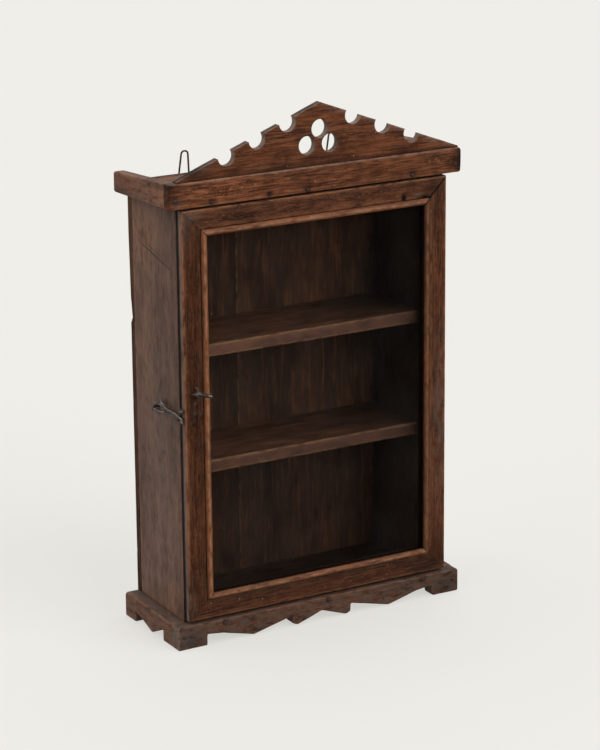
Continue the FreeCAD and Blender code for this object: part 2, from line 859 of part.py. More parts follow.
# All the pieces, by node name
def build_nodes():
    """Every piece of the cabinet."""
    nodes = {
        "left_side_panel": side_panel(LEFT),
        "right_side_panel": side_panel(RIGHT),
        "top_board": top_board(),
        "back_board_left": back_board_left(),
        "back_board_right": back_board_right(),
        "cornice_front_board": cornice_front(),
        "cornice_left_board": cornice_side(LEFT),
        "cornice_right_board": cornice_side(RIGHT),
        "crest_board": crest_board(),
        "crest_dowels": Part.makeCompound(crest_dowels()),
        "plinth_front_board": plinth_front(),
        "plinth_left_board": plinth_side(LEFT),
        "plinth_right_board": plinth_side(RIGHT),
        "cornice_nails": Part.makeCompound([nail(place) for place in CORNICE_NAILS]),
        "plinth_nails": Part.makeCompound([nail(place) for place in PLINTH_NAILS]),
        "back_nails": Part.makeCompound([nail(place) for place in BACK_NAILS]),
        "hanging_wire_left": hanging_wire(LEFT),
        "hanging_wire_right": hanging_wire(RIGHT),
        "hook_pivot_nail": hook_pivot(),
        "hook_catch_nail": hook_catch(),
        "side_hook": side_hook(),
        "pull_staple": pull_staple(),
        "pull_bar": pull_bar(),
        "door_glass": door_glass(),
    }
    for name in shelf_spans():
        nodes[name] = housed_board(name)
    frame_names = {"left": "door_left_stile", "right": "door_right_stile",
                   "top": "door_top_rail", "bottom": "door_bottom_rail"}
    for side, bar in door_frame().items():
        nodes[frame_names[side]] = bar
    beads = mitred_ring(bead_section(), frame_width - bead_width, bead_width)
    strips = mitred_ring(glazing_section(), frame_width - glass_rebate_width, glass_rebate_width)
    for side in frame_names:
        nodes["bead_" + side] = beads[side]
        nodes["glazing_strip_" + side] = strips[side]
    for name, middle in hinge_middles().items():
        nodes[name + "_hinge_fixed_leaf"] = hinge_leaf(middle, False)
        nodes[name + "_hinge_door_leaf"] = hinge_leaf(middle, True)
        nodes[name + "_hinge_pin"] = hinge_pin(middle)
    for name, on_door in (("hinge_fixed_screws", False), ("hinge_door_screws", True)):
        screws = [hinge_screw(place) for place in hinge_screw_places(on_door)]
        nodes[name] = Part.makeCompound(screws)
    return nodes


def main():
    """Write every piece to its own STEP file."""
    os.makedirs("parts", exist_ok=True)
    for name, shape in build_nodes().items():
        shape.exportStep(os.path.join("parts", name + ".step"))
        print(name, len(shape.Solids), shape.isValid(), round(shape.Volume / 1000, 2))
    print("hinge axis", hinge_x, hinge_y)
    print("hook pivot", hook_plane(), hook_pivot_point())
    print("pull axis", pull_axis_point())
    print("front and back faces", front_face, back_face)


main()
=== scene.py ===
import logging
import math
from dataclasses import dataclass, field, replace
from enum import Enum

import bmesh
import bpy
import numpy as np
from mathutils import Matrix, Vector, noise
from mathutils.geometry import delaunay_2d_cdt


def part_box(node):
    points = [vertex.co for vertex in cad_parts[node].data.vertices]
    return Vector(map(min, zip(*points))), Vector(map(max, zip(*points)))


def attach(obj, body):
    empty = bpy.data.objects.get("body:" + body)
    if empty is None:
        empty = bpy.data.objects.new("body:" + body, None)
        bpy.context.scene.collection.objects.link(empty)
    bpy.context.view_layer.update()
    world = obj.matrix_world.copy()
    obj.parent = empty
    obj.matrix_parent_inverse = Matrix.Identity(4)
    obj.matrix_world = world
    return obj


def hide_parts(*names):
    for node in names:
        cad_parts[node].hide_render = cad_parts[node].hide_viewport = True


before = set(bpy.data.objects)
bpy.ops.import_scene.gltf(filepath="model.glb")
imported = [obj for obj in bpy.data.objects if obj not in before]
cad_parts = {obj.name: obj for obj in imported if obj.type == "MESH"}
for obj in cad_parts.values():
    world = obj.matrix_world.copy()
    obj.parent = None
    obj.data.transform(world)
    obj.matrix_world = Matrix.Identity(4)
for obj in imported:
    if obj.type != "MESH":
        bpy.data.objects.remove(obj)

# Old wall cabinet with a glazed door. Sizes are millimetres unless a name says otherwise.
# X runs to the viewer's right, Y to the back and Z up, as in the frame.

LOG = logging.getLogger("cabinet")
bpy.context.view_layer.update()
MM = 0.001

Tree = bpy.types.NodeTree
Node = bpy.types.Node
Socket = bpy.types.NodeSocket
Sockets = bpy.types.NodeOutputs
Material = bpy.types.Material
Mesh = bpy.types.Mesh
Piece = bpy.types.Object
Loop = list[tuple[float, ...]]
Marks = dict[str, np.ndarray]


class Grain(Enum):
    """Which way the fibres of a board run, as the turn that lays them along the pattern's X."""

    ACROSS = (0.0, 0.0, 0.0)
    DEEP = (0.0, 0.0, math.pi / 2)
    UPRIGHT = (0.0, math.pi / 2, 0.0)


class Plane(Enum):
    """Which axes a board's outline lies in, and then the axis of its thickness."""

    FRONT = (0, 2, 1)
    SIDE = (1, 2, 0)
    FLAT = (0, 1, 2)


class Bar(Enum):
    """The four bars of a mitred ring."""

    LEFT = "left"
    RIGHT = "right"
    TOP = "top"
    BOTTOM = "bottom"


class Mark(Enum):
    """What a painted patch changes on a face."""

    TONE = "tone"
    # Stains and dirt, and also painted shade: in the gap beside the door, under the hook and on the door's
    # shaded back and flanks
    STAIN = "stain"
    DUST = "dust"
    SCUFF = "scuff"
    WEAR = "wear"


def linear(code: str) -> tuple[float, float, float, float]:
    """Turns an sRGB hex colour into a linear one.

    Args:
        code: Colour such as "#8a5a3c".

    Returns:
        Red, green, blue and an alpha of one, in linear light.
    """
    parts = [int(code[i:i + 2], 16) / 255 for i in (1, 3, 5)]
    red, green, blue = [c / 12.92 if c <= 0.04045 else ((c + 0.055) / 1.055) ** 2.4 for c in parts]
    return red, green, blue, 1.0


def add_node(tree: Tree, kind: str, inputs: dict | None = None, **settings: object) -> Node:
    """Adds a node with its settings and links.

    Args:
        tree: Tree that gets the node.
        kind: Blender's type name of the node.
        inputs: Value or source socket for each input, by name or number.
        **settings: Properties of the node itself.

    Returns:
        The new node.
    """
    node = tree.nodes.new(kind)
    for key, value in settings.items():
        setattr(node, key, value)
    for place, value in (inputs or {}).items():
        socket = node.inputs[place]
        if isinstance(value, Socket):
            tree.links.new(value, socket)
        else:
            socket.default_value = value
    return node


def flow(tree: Tree, kind: str, inputs: dict | None = None, **settings: object) -> Socket:
    """First output of a node that add_node adds."""
    return add_node(tree, kind, inputs, **settings).outputs[0]


def calc(tree: Tree, kind: str, *values: object) -> Socket:
    """Result of a math node on numbers or sockets."""
    return flow(tree, "ShaderNodeMath", dict(enumerate(values)), operation=kind)


def spread(tree: Tree, value: Socket, given: tuple[float, float] = (0.0, 1.0),
           wanted: tuple[float, float] = (0.0, 1.0), **settings: object) -> Socket:
    """Maps one range of values to another.

    Args:
        tree: Tree that gets the node.
        value: Socket to map.
        given: Levels of the socket.
        wanted: What these levels become.
        **settings: Properties of the node itself.

    Returns:
        The mapped socket.
    """
    levels = {"Value": value, "From Min": given[0], "From Max": given[1], "To Min": wanted[0],
              "To Max": wanted[1]}
    return flow(tree, "ShaderNodeMapRange", levels, **settings)


def layer(tree: Tree, share: object, under: object, over: str) -> Socket:
    """Lays a colour over another one.

    Args:
        tree: Tree that gets the node.
        share: How much the upper colour covers.
        under: Lower colour, or the socket that gives it.
        over: Upper colour, as sRGB hex.

    Returns:
        The socket of the mixed colour.
    """
    return add_node(tree, "ShaderNodeMix", {0: share, 6: under, 7: linear(over)}, data_type="RGBA").outputs[2]


def new_material(name: str) -> tuple[Material, Tree]:
    """Starts a material.

    Args:
        name: Name of the material.

    Returns:
        The material and its empty node tree.
    """
    stuff = bpy.data.materials.new(name)
    stuff.use_nodes = True
    stuff.node_tree.nodes.clear()
    return stuff, stuff.node_tree


def dress(piece: Piece, finish: Material) -> Piece:
    """Gives a piece one finish in place of what it has.

    Args:
        piece: Object to dress.
        finish: Its new material.

    Returns:
        The same object.
    """
    piece.data.materials.clear()
    piece.data.materials.append(finish)
    return piece


def node_box(node: str) -> tuple[Vector, Vector]:
    """Lowest and highest corner of a CAD node, in millimetres."""
    low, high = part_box(node)
    return low / MM, high / MM


def ripple(point: tuple[float, float, float], size: float) -> float:
    """Smooth noise from 0 to 1 with features of a given size."""
    return 0.5 + 0.5 * noise.noise(Vector(point) / size)


def make_object(name: str, points: np.ndarray, faces: list, marks: Marks) -> Piece:
    """Makes a closed mesh object with its place in its mesh.

    Args:
        name: Name of the piece.
        points: Vertices in millimetres.
        faces: Vertex numbers of each face.
        marks: Float attributes, one value for each vertex.

    Returns:
        The linked object, smooth and with outward faces.
    """
    mesh = bpy.data.meshes.new(name)
    mesh.from_pydata((points * MM).tolist(), [], faces)
    for key, values in marks.items():
        store = mesh.attributes.new(key, "FLOAT", "POINT")
        store.data.foreach_set("value", np.asarray(values, np.float32))
    shape = bmesh.new()
    shape.from_mesh(mesh)
    bmesh.ops.recalc_face_normals(shape, faces=shape.faces)
    shape.to_mesh(mesh)
    shape.free()
    mesh.shade_smooth()
    piece = bpy.data.objects.new(name, mesh)
    bpy.context.scene.collection.objects.link(piece)
    return piece


def settle(piece: Piece, body: str, slot: str, *nodes: str) -> Piece:
    """Ties a piece to its body and to the CAD nodes that it stands for.

    Args:
        piece: Finished object.
        body: CAD body that it rides on.
        slot: Material slot of the record. Not used.
        *nodes: CAD nodes that it replaces.

    Returns:
        The same object.
    """
    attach(piece, body)
    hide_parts(*nodes)
    LOG.info("%s: %d faces on %s", piece.name, len(piece.data.polygons), body)
    return piece


# Finishes


@dataclass(frozen=True)
class Streak:
    """Noise stretched along the fibres, which is 0 below its low level and 1 above its high level."""

    length: float
    width: float
    low: float
    high: float
    detail: float = 3.0


@dataclass(frozen=True)
class WoodFinish:
    """Stained hardwood with a worn, waxed skin.

    The eye reads streaks of light and dark fibre, short open pores, hand grime in clouds, pale
    scuffs, rubbed arrises and a few specks of old whitewash.
    """

    name: str
    shade: str
    body: str
    light: str
    worn: str
    cut: str
    grime: str = "#130b07"
    dust: str = "#6d5f56"
    speck: str = "#b3aba0"
    figure: Streak = Streak(170.0, 8.0, 0.38, 0.62)
    streak: Streak = Streak(44.0, 2.6, 0.42, 0.64)
    fibre: Streak = Streak(20.0, 0.7, 0.40, 0.66, 4.0)
    vein: Streak = Streak(14.0, 0.6, 0.56, 0.68, 2.0)
    mottle: Streak = Streak(16.0, 8.0, 0.42, 0.66, 3.0)
    clouds: Streak = Streak(58.0, 32.0, 0.46, 0.72, 4.0)
    scuff: Streak = Streak(5.0, 1.2, 0.58, 0.70, 2.0)
    rubbed: Streak = Streak(15.0, 6.6, 0.30, 0.62, 5.0)
    streak_share: float = 0.45
    fibre_share: float = 0.4
    vein_share: float = 0.45
    mottle_share: float = 0.35
    grime_share: float = 0.5
    scuff_share: float = 0.22
    wear_share: float = 0.6
    cut_share: float = 0.75
    speck_spacing: float = 11.0
    speck_share: float = 0.4
    speck_levels: tuple[float, float] = (0.075, 0.03)
    roughness: float = 0.5
    matt_range: tuple[float, float] = (-0.07, 0.14)
    gloss: float = 0.25
    relief: float = 0.22
    board_shift: tuple[float, float, float] = (997.0, 613.0, 431.0)

    def material(self, grain: Grain) -> Material:
        """Finds or makes the finish for one direction of the grain.

        Args:
            grain: Direction of the fibres.

        Returns:
            The material.
        """
        title = f"{self.name}_{grain.name.lower()}"
        found = bpy.data.materials.get(title)
        return found if found else self._paint(title, grain)

    def _paint(self, title: str, grain: Grain) -> Material:
        """Builds the node tree.

        Args:
            title: Name of the material.
            grain: Direction of the fibres.

        Returns:
            The new material.
        """
        stuff, tree = new_material(title)
        where = add_node(tree, "ShaderNodeTexCoord").outputs["Object"]
        turned = flow(tree, "ShaderNodeMapping",
                      {"Vector": where, "Rotation": grain.value, "Scale": (1 / MM,) * 3})
        board = add_node(tree, "ShaderNodeAttribute", attribute_name="board").outputs["Vector"]
        place = flow(tree, "ShaderNodeVectorMath", {0: board, 1: self.board_shift, 2: turned},
                     operation="MULTIPLY_ADD")
        marks = {key: add_node(tree, "ShaderNodeAttribute", attribute_name=key).outputs["Fac"]
                 for key in ("wear", "cut", "stain", "tone", "dust", "scuff")}

        def pattern(run: Streak) -> Socket:
            """Lays a stretched noise over the wood.

            Args:
                run: Shape and levels of the noise.

            Returns:
                Share of the noise at each point.
            """
            shape = (1 / run.length, 1 / run.width, 1 / run.width)
            spot = flow(tree, "ShaderNodeVectorMath", {0: place, 1: shape}, operation="MULTIPLY")
            cloud = flow(tree, "ShaderNodeTexNoise",
                         {"Vector": spot, "Scale": 1.0, "Detail": run.detail, "Roughness": 0.6})
            return spread(tree, cloud, (run.low, run.high), interpolation_type="SMOOTHSTEP")

        def product(*shares: object) -> Socket:
            """Two shares multiplied."""
            return calc(tree, "MULTIPLY", *shares)

        fibre, vein = pattern(self.fibre), pattern(self.vein)
        clouds, rubbed = pattern(self.clouds), pattern(self.rubbed)
        scuffed = product(pattern(self.scuff), calc(tree, "ADD", marks["scuff"], self.scuff_share))
        skin = layer(tree, pattern(self.figure), linear(self.shade), self.body)
        # The dust layer carries real dust, and on left-facing faces also a painted sheen
        for share, colour in ((product(pattern(self.streak), self.streak_share), self.light),
                              (product(fibre, self.fibre_share), self.light),
                              (product(marks["cut"], self.cut_share), self.cut),
                              (product(pattern(self.mottle), self.mottle_share), self.shade),
                              (product(clouds, self.grime_share), self.grime),
                              (product(vein, self.vein_share), self.grime),
                              (scuffed, self.worn),
                              (product(marks["dust"], rubbed), self.dust),
                              (product(product(marks["wear"], rubbed), self.wear_share), self.worn)):
            skin = layer(tree, share, skin, colour)
        # The tone mark scales the colour: the wood's own lighter and darker places, and also painted light
        # and shade
        lighter = calc(tree, "ADD", marks["tone"], 1.0)
        skin = flow(tree, "ShaderNodeVectorMath", {0: skin, "Scale": lighter}, operation="SCALE")
        # The stain mark darkens towards the grime colour: real stains, and also painted shade in gaps and
        # under the hook
        skin = layer(tree, marks["stain"], skin, self.grime)
        cells = add_node(tree, "ShaderNodeTexVoronoi", {"Vector": place, "Scale": 1 / self.speck_spacing})
        chosen = calc(tree, "LESS_THAN", cells.outputs["Color"], self.speck_share)
        dots = product(spread(tree, cells.outputs["Distance"], self.speck_levels), chosen)
        skin = layer(tree, dots, skin, self.speck)

        matt = spread(tree, clouds, wanted=tuple(self.roughness + more for more in self.matt_range))
        height = calc(tree, "SUBTRACT", fibre, vein)
        relief = flow(tree, "ShaderNodeBump",
                      {"Height": height, "Strength": 0.7, "Distance": self.relief * MM})
        shader = flow(tree, "ShaderNodeBsdfPrincipled",
                      {"Base Color": skin, "Roughness": matt, "Normal": relief, "IOR": 1.5,
                       "Specular IOR Level": self.gloss})
        add_node(tree, "ShaderNodeOutputMaterial", {"Surface": shader})
        return stuff


@dataclass(frozen=True)
class IronFinish:
    """Forged wrought iron, dark from scale, brown in its hollows and pale on its ridges, partly from rubbing
    and partly as a painted highlight.
    """

    name: str
    scale: str
    rubbed: str
    rust: str
    patch_size: float = 6.0
    pit_size: float = 1.5
    pit_depth: float = 0.3
    bright_levels: tuple[float, float] = (0.5, 0.66)
    rust_levels: tuple[float, float] = (0.6, 0.46)
    roughness: float = 0.5
    matt_range: tuple[float, float] = (-0.12, 0.2)
    metal: float = 0.45
    bright_share: float = 0.5

    def material(self) -> Material:
        """Finds or makes the finish."""
        found = bpy.data.materials.get(self.name)
        return found if found else self._paint()

    def _paint(self) -> Material:
        """Builds the node tree.

        Returns:
            The new material.
        """
        stuff, tree = new_material(self.name)
        where = add_node(tree, "ShaderNodeTexCoord").outputs["Object"]
        patch, pits = [flow(tree, "ShaderNodeTexNoise",
                            {"Vector": where, "Detail": detail, "Scale": 1 / (size * MM)})
                       for size, detail in ((self.patch_size, 4.0), (self.pit_size, 3.0))]
        # The wear mark makes the ridges pale: partly rubbed iron and partly a painted highlight
        ridges_rubbed_and_lit = add_node(tree, "ShaderNodeAttribute", attribute_name="wear").outputs["Fac"]
        bright = calc(tree, "MULTIPLY", spread(tree, patch, self.bright_levels), self.bright_share)
        skin = layer(tree, calc(tree, "MAXIMUM", bright, ridges_rubbed_and_lit), linear(self.scale), self.rubbed)
        rusty = calc(tree, "MULTIPLY", spread(tree, patch, self.rust_levels), pits)
        skin = layer(tree, rusty, skin, self.rust)
        matt = spread(tree, pits, wanted=tuple(self.roughness + more for more in self.matt_range))
        relief = flow(tree, "ShaderNodeBump",
                      {"Height": pits, "Strength": 0.4, "Distance": self.pit_depth * MM})
        shader = flow(tree, "ShaderNodeBsdfPrincipled",
                      {"Base Color": skin, "Metallic": self.metal, "Roughness": matt, "Normal": relief})
        add_node(tree, "ShaderNodeOutputMaterial", {"Surface": shader})
        return stuff


@dataclass(frozen=True)
class GlassFinish:
    """Old drawn window glass: nearly clear, with a thin uneven film of dust."""

    name: str = "drawn_window_glass_dusty"
    dust: str = "#b9b4ab"
    film_size: float = 60.0
    film_levels: tuple[float, float] = (0.35, 0.7)
    film_range: tuple[float, float] = (0.002, 0.008)

    def material(self) -> Material:
        """Builds the node tree.

        Returns:
            The new material.
        """
        stuff, tree = new_material(self.name)
        where = add_node(tree, "ShaderNodeTexCoord").outputs["Object"]
        film = flow(tree, "ShaderNodeTexNoise",
                    {"Vector": where, "Detail": 5.0, "Scale": 1 / (self.film_size * MM)})
        cover = spread(tree, film, self.film_levels, self.film_range)
        shader = flow(tree, "ShaderNodeBsdfPrincipled",
                      {"Base Color": linear(self.dust), "Roughness": 0.12, "IOR": 1.5, "Alpha": cover})
        add_node(tree, "ShaderNodeOutputMaterial", {"Surface": shader})
        return stuff


# Plinth, door frame, top board and sides of the cornice: warm, waxed by hands
FRAME_WOOD = WoodFinish("stained_hardwood_waxed", shade="#2b1308", body="#512912", light="#865338",
                        worn="#98694b", cut="#5c4d46", gloss=0.12, fibre_share=0.55, vein_share=0.52,
                        scuff_share=0.16, wear_share=0.75, speck_share=0.3)
# Cornice front: the same wood, more rubbed
FASCIA_WOOD = replace(FRAME_WOOD, name="stained_hardwood_rubbed", light="#945a3b", streak_share=0.6,
                      fibre_share=0.4, vein_share=0.45, scuff_share=0.2, speck_share=0.46)
# Crest: the same wood, with sawn edges that have greyed
CREST_WOOD = replace(FRAME_WOOD, name="stained_hardwood_greyed_edges", cut="#7b7068", cut_share=0.95,
                     fibre_share=0.4, vein_share=0.42, scuff_share=0.1, speck_share=0.46)
# Side panels: the same wood, dull, with a painted sheen that makes it lighter and greyer
SIDE_WOOD = WoodFinish("stained_hardwood_dull_painted_sheen", shade="#40291f", body="#6a4c40", light="#93694f",
                       worn="#94694c", cut="#4f3d33", grime="#2f211a", grime_share=0.4, gloss=0.3,
                       figure=Streak(260.0, 22.0, 0.34, 0.68), streak=Streak(60.0, 3.2, 0.42, 0.64),
                       mottle=Streak(24.0, 10.0, 0.42, 0.66, 4.0), streak_share=0.3, fibre_share=0.38,
                       vein_share=0.4, mottle_share=0.5, scuff_share=0.1, speck_share=0.28)
# Shelves, bottom board and back: dry and dark
INNER_WOOD = WoodFinish("stained_hardwood_dry", shade="#2a1a12", body="#412a1e", light="#6f482d",
                        worn="#7a573c", cut="#54372a", roughness=0.62, wear_share=0.5, gloss=0.15,
                        figure=Streak(240.0, 30.0, 0.36, 0.66), streak=Streak(80.0, 7.0, 0.5, 0.68),
                        mottle=Streak(40.0, 18.0, 0.42, 0.66, 4.0), streak_share=0.4, fibre_share=0.2,
                        mottle_share=0.45, vein_share=0.3, scuff_share=0.06, speck_share=0.2)
# Glazing strips: the inner wood painted near black, as painted shade, since they are never in the light
SHADED_STRIP_WOOD = replace(INNER_WOOD, name="stained_hardwood_strip_painted_shade", shade="#120b07", body="#1a110b",
                     light="#24170f")
# Beads: stain rubbed back to the lighter wood
BEAD_WOOD = WoodFinish("rubbed_hardwood_bead", shade="#431e0b", body="#6b3a1d", light="#9c603c",
                       worn="#c08a66", cut="#643a24", grime_share=0.4, roughness=0.4, gloss=0.25,
                       wear_share=0.6, scuff_share=0.15)
IRON = IronFinish("forged_wrought_iron", scale="#463c36", rubbed="#aca095", rust="#33251e")
NAIL_IRON = IronFinish("nail_iron_blackened", scale="#352c28", rubbed="#665b54", rust="#432f26",
                       roughness=0.6)
GLASS = GlassFinish()


# Boards

GRAIN_SHIFT = 0.618
STRAIGHT = -0.9
LEAST_EASE = 0.05
EASE_SHARES = (0.0, 0.25, 0.5, 0.75, 1.0)
INSET_SHARE = 0.97
POINTS_AT_ONCE = 400
PIT_RINGS = ((0.0, 1), (0.5, 8), (1.0, 12), (1.6, 14))
GROOVE_SIDES = (-1.6, -0.8, 0.0, 0.8, 1.6)
MARK_LIMITS = (-0.9, 1.5)


def wood_marks(seed: float, wear: np.ndarray, cut: np.ndarray, stain: np.ndarray, tone: np.ndarray | float,
               dust: np.ndarray | float) -> Marks:
    """Marks of one piece of wood, with its own place in the figure of the grain.

    Args:
        seed: Number that sets the piece apart.
        wear: How far each vertex is rubbed.
        cut: How far each vertex shows sawn wood.
        stain: How dirty each vertex is, and how much painted shade it has.
        tone: How much lighter or darker each vertex is, or all of them.
        dust: How dusty each vertex is, or all of them.

    Returns:
        One value for each vertex, by the name of the mark.
    """
    blank = np.zeros(len(wear))
    return {"wear": wear, "cut": cut, "stain": stain, "board": blank + seed * GRAIN_SHIFT % 1.0,
            "tone": blank + tone, "dust": blank + dust, "scuff": blank}


@dataclass(frozen=True)
class Patch:
    """Soft oval patch of a mark, in the plane of a face."""

    mark: Mark
    middle: tuple[float, float]
    reach: tuple[float, float]
    amount: float

    def lay(self, marks: Marks, u: np.ndarray, v: np.ndarray) -> None:
        """Adds the patch to its mark.

        Args:
            marks: Marks of a piece, one value for each vertex.
            u: First place of each vertex in the face's plane.
            v: Second place of each vertex.
        """
        square = ((u - self.middle[0]) / self.reach[0]) ** 2 + ((v - self.middle[1]) / self.reach[1]) ** 2
        total = marks[self.mark.value] + self.amount * np.exp(-square)
        marks[self.mark.value] = np.clip(total, *MARK_LIMITS)


@dataclass(frozen=True)
class Scratch:
    """Straight groove in the near face of a board, dark with dirt."""

    start: tuple[float, float]
    end: tuple[float, float]
    width: float
    depth: float
    dirt: float = 0.7

    def grid(self) -> list[np.ndarray]:
        """Spaces points closely along the groove and beside it.

        Returns:
            Points in the plane of the face.
        """
        start, end = np.array(self.start), np.array(self.end)
        length = np.linalg.norm(end - start)
        beside = np.array((start[1] - end[1], end[0] - start[0])) / length * self.width
        count = max(2, round(length / (self.width * GROOVE_SIDES[-1])))
        return [start + (end - start) * k / count + beside * side
                for k in range(count + 1) for side in GROOVE_SIDES]

    def share(self, points: np.ndarray) -> np.ndarray:
        """Finds how deep points lie in the groove.

        Args:
            points: Points in the plane of the face.

        Returns:
            Share of the groove's depth at each point.
        """
        start, run = np.array(self.start), np.array(self.end) - np.array(self.start)
        along = np.clip(((points - start) @ run) / (run @ run), 0.0, 1.0)
        gap = np.linalg.norm(points - start - along[:, None] * run, axis=1)
        fade = np.sin(np.pi * np.clip(along * 0.9 + 0.05, 0, 1)) ** 0.5
        return np.exp(-(gap / self.width) ** 2) * fade


@dataclass
class Plate:
    """Board or flat blade cut to an outline, with eased arrises, uneven faces and chipped edges."""

    name: str
    plane: Plane
    loops: list[Loop]
    low: float
    high: float
    seed: float
    arris: float = 1.2
    corner: float = 1.0
    step: float = 7.0
    edge_step: float = 2.4
    margin: float = 1.8
    wall_step: float = 3.0
    wobble: float = 0.35
    wobble_size: float = 26.0
    swell: float = 0.25
    swell_size: float = 90.0
    arris_wave: float = 24.0
    chip: float = 1.4
    chip_size: float = 8.0
    chip_level: float = 0.72
    pit_dirt: float = 0.85
    pit_spread: float = 1.25
    bore_clear: float = 0.6
    wear_width: float = 1.5
    rub: float = 1.0
    tone: float = 0.0
    # Painted shade on the edge walls
    rim_shade: float = 0.0
    dust: float = 0.0
    # Bored holes whose walls get painted light: centre, radius and tone
    lit_bores: list[tuple[float, float, float, float]] = field(default_factory=list)
    pits: list[tuple[float, float, float, float]] = field(default_factory=list)
    face_tones: tuple[float, float] = (0.0, 0.0)
    end_grain: bool = True
    patches: list[Patch] = field(default_factory=list)
    scratches: list[Scratch] = field(default_factory=list)

    def _eased(self, loop: Loop) -> np.ndarray:
        """Rounds the sharp corners of a loop and divides it into short runs.

        Args:
            loop: Corner points, with the wood on their left. A third value is a corner's own rounding.

        Returns:
            Closely spaced points round the loop.
        """
        corners = [np.array(p[:2], float) for p in loop]
        eases = [p[2] if len(p) > 2 else self.corner for p in loop]
        path = []
        befores, afters = corners[-1:] + corners[:-1], corners[1:] + corners[:1]
        for before, here, after, ease in zip(befores, corners, afters, eases):
            back, ahead = before - here, after - here
            reach = [np.linalg.norm(back), np.linalg.norm(ahead)]
            turn = np.dot(back, ahead) / (reach[0] * reach[1])
            cut = min(ease, 0.4 * min(reach))
            if turn < STRAIGHT or cut < LEAST_EASE:
                path.append(here)
                continue
            start, end = here + back / reach[0] * cut, here + ahead / reach[1] * cut
            for share in EASE_SHARES:
                path.append((1 - share) ** 2 * start + 2 * share * (1 - share) * here + share ** 2 * end)
        spaced = []
        for here, after in zip(path, path[1:] + path[:1]):
            count = max(1, math.ceil(np.linalg.norm(after - here) / self.edge_step))
            spaced.extend(here + (after - here) * k / count for k in range(count))
        ring = np.array(spaced)
        worn = [ripple((p[0], p[1], self.seed * 31), self.wobble_size) for p in ring]
        return ring + self._inward(ring) * (np.array(worn) * self.wobble)[:, None]

    @staticmethod
    def _inward(ring: np.ndarray) -> np.ndarray:
        """Finds the way into the wood.

        Args:
            ring: Closely spaced points of a loop.

        Returns:
            Unit direction at each point.
        """
        along = np.roll(ring, -1, 0) - np.roll(ring, 1, 0)
        along /= np.maximum(np.linalg.norm(along, axis=1), 1e-9)[:, None]
        return np.stack([-along[:, 1], along[:, 0]], 1)

    @staticmethod
    def _distance(points: np.ndarray, rings: list[np.ndarray]) -> np.ndarray:
        """Measures the distance from each point to the nearest edge.

        Args:
            points: Points in the plane of the outline.
            rings: Closely spaced points of each loop.

        Returns:
            Distances in millimetres.
        """
        start = np.concatenate(rings)
        run = np.concatenate([np.roll(r, -1, 0) for r in rings]) - start
        square = np.maximum((run ** 2).sum(1), 1e-12)
        result = np.empty(len(points))
        for first in range(0, len(points), POINTS_AT_ONCE):
            some = slice(first, first + POINTS_AT_ONCE)
            gap = points[some, None] - start[None]
            share = np.clip((gap * run).sum(2) / square, 0, 1)
            result[some] = np.sqrt(((gap - share[..., None] * run) ** 2).sum(2).min(1))
        return result

    @staticmethod
    def _inside(points: np.ndarray, rings: list[np.ndarray]) -> np.ndarray:
        """Tells which points lie in the wood.

        Args:
            points: Points in the plane of the outline.
            rings: Closely spaced points of each loop.

        Returns:
            True for each point in the wood.
        """
        odd = np.zeros(len(points), bool)
        for ring in rings:
            for (ax, ay), (bx, by) in zip(ring, np.roll(ring, -1, 0)):
                if ay != by:
                    crosses = (ay > points[:, 1]) != (by > points[:, 1])
                    odd ^= crosses & (points[:, 0] < (bx - ax) * (points[:, 1] - ay) / (by - ay) + ax)
        return odd

    def _triangles(self, rings: list[np.ndarray]) -> tuple[np.ndarray, list, list[list[int]]]:
        """Covers the face with triangles that are closest at its edges.

        Args:
            rings: Closely spaced points of each loop.

        Returns:
            Points of the face, its triangles, and the numbers of each ring's points.
        """
        points, edges, owners = [], [], []
        for ring in rings:
            first = len(points)
            points.extend(ring)
            owners.append(list(range(first, len(points))))
            edges.extend((first + k, first + (k + 1) % len(ring)) for k in range(len(ring)))
        bends = [math.radians(a) for a in ((30, 60, 90) if self.arris > 0.9 else (45, 90))]
        depths = [self.arris * (1 - math.cos(a)) for a in bends] + [self.arris + self.margin]
        for depth in depths:
            for ring in rings:
                inset = ring + self._inward(ring) * depth
                kept = (self._distance(inset, rings) > depth * INSET_SHARE) & self._inside(inset, rings)
                first = len(points)
                numbers = first + np.cumsum(kept) - 1
                points.extend(inset[kept])
                for k in range(len(ring)):
                    after = (k + 1) % len(ring)
                    if kept[k] and kept[after]:
                        edges.append((int(numbers[k]), int(numbers[after])))
        for u, v, radius, _ in self.pits:
            for share, count in PIT_RINGS:
                for k in range(count):
                    angle, reach = 2 * math.pi * k / count, radius * share
                    points.append(np.array((u + reach * math.cos(angle), v + reach * math.sin(angle))))
        for scratch in self.scratches:
            points.extend(scratch.grid())
        draw = np.random.RandomState(int(self.seed * 1000))
        flat = np.concatenate(rings)
        axes = [np.arange(flat[:, i].min() + self.step / 2, flat[:, i].max(), self.step) for i in (0, 1)]
        grid = np.stack(np.meshgrid(*axes), -1).reshape(-1, 2)
        grid += draw.uniform(-0.2, 0.2, grid.shape) * self.step
        far = (self._distance(grid, rings) > depths[-1] + self.step * 0.45) & self._inside(grid, rings)
        points.extend(grid[far])
        made = delaunay_2d_cdt([Vector(p) for p in points], edges, [], 0, 1e-5, True)
        net = np.array([tuple(p) for p in made[0]])
        number = {old: new for new, olds in enumerate(made[3]) for old in olds}
        faces = np.array(made[2])
        middle = net[faces].mean(1)
        return net, faces[self._inside(middle, rings)].tolist(), [[number[k] for k in own] for own in owners]

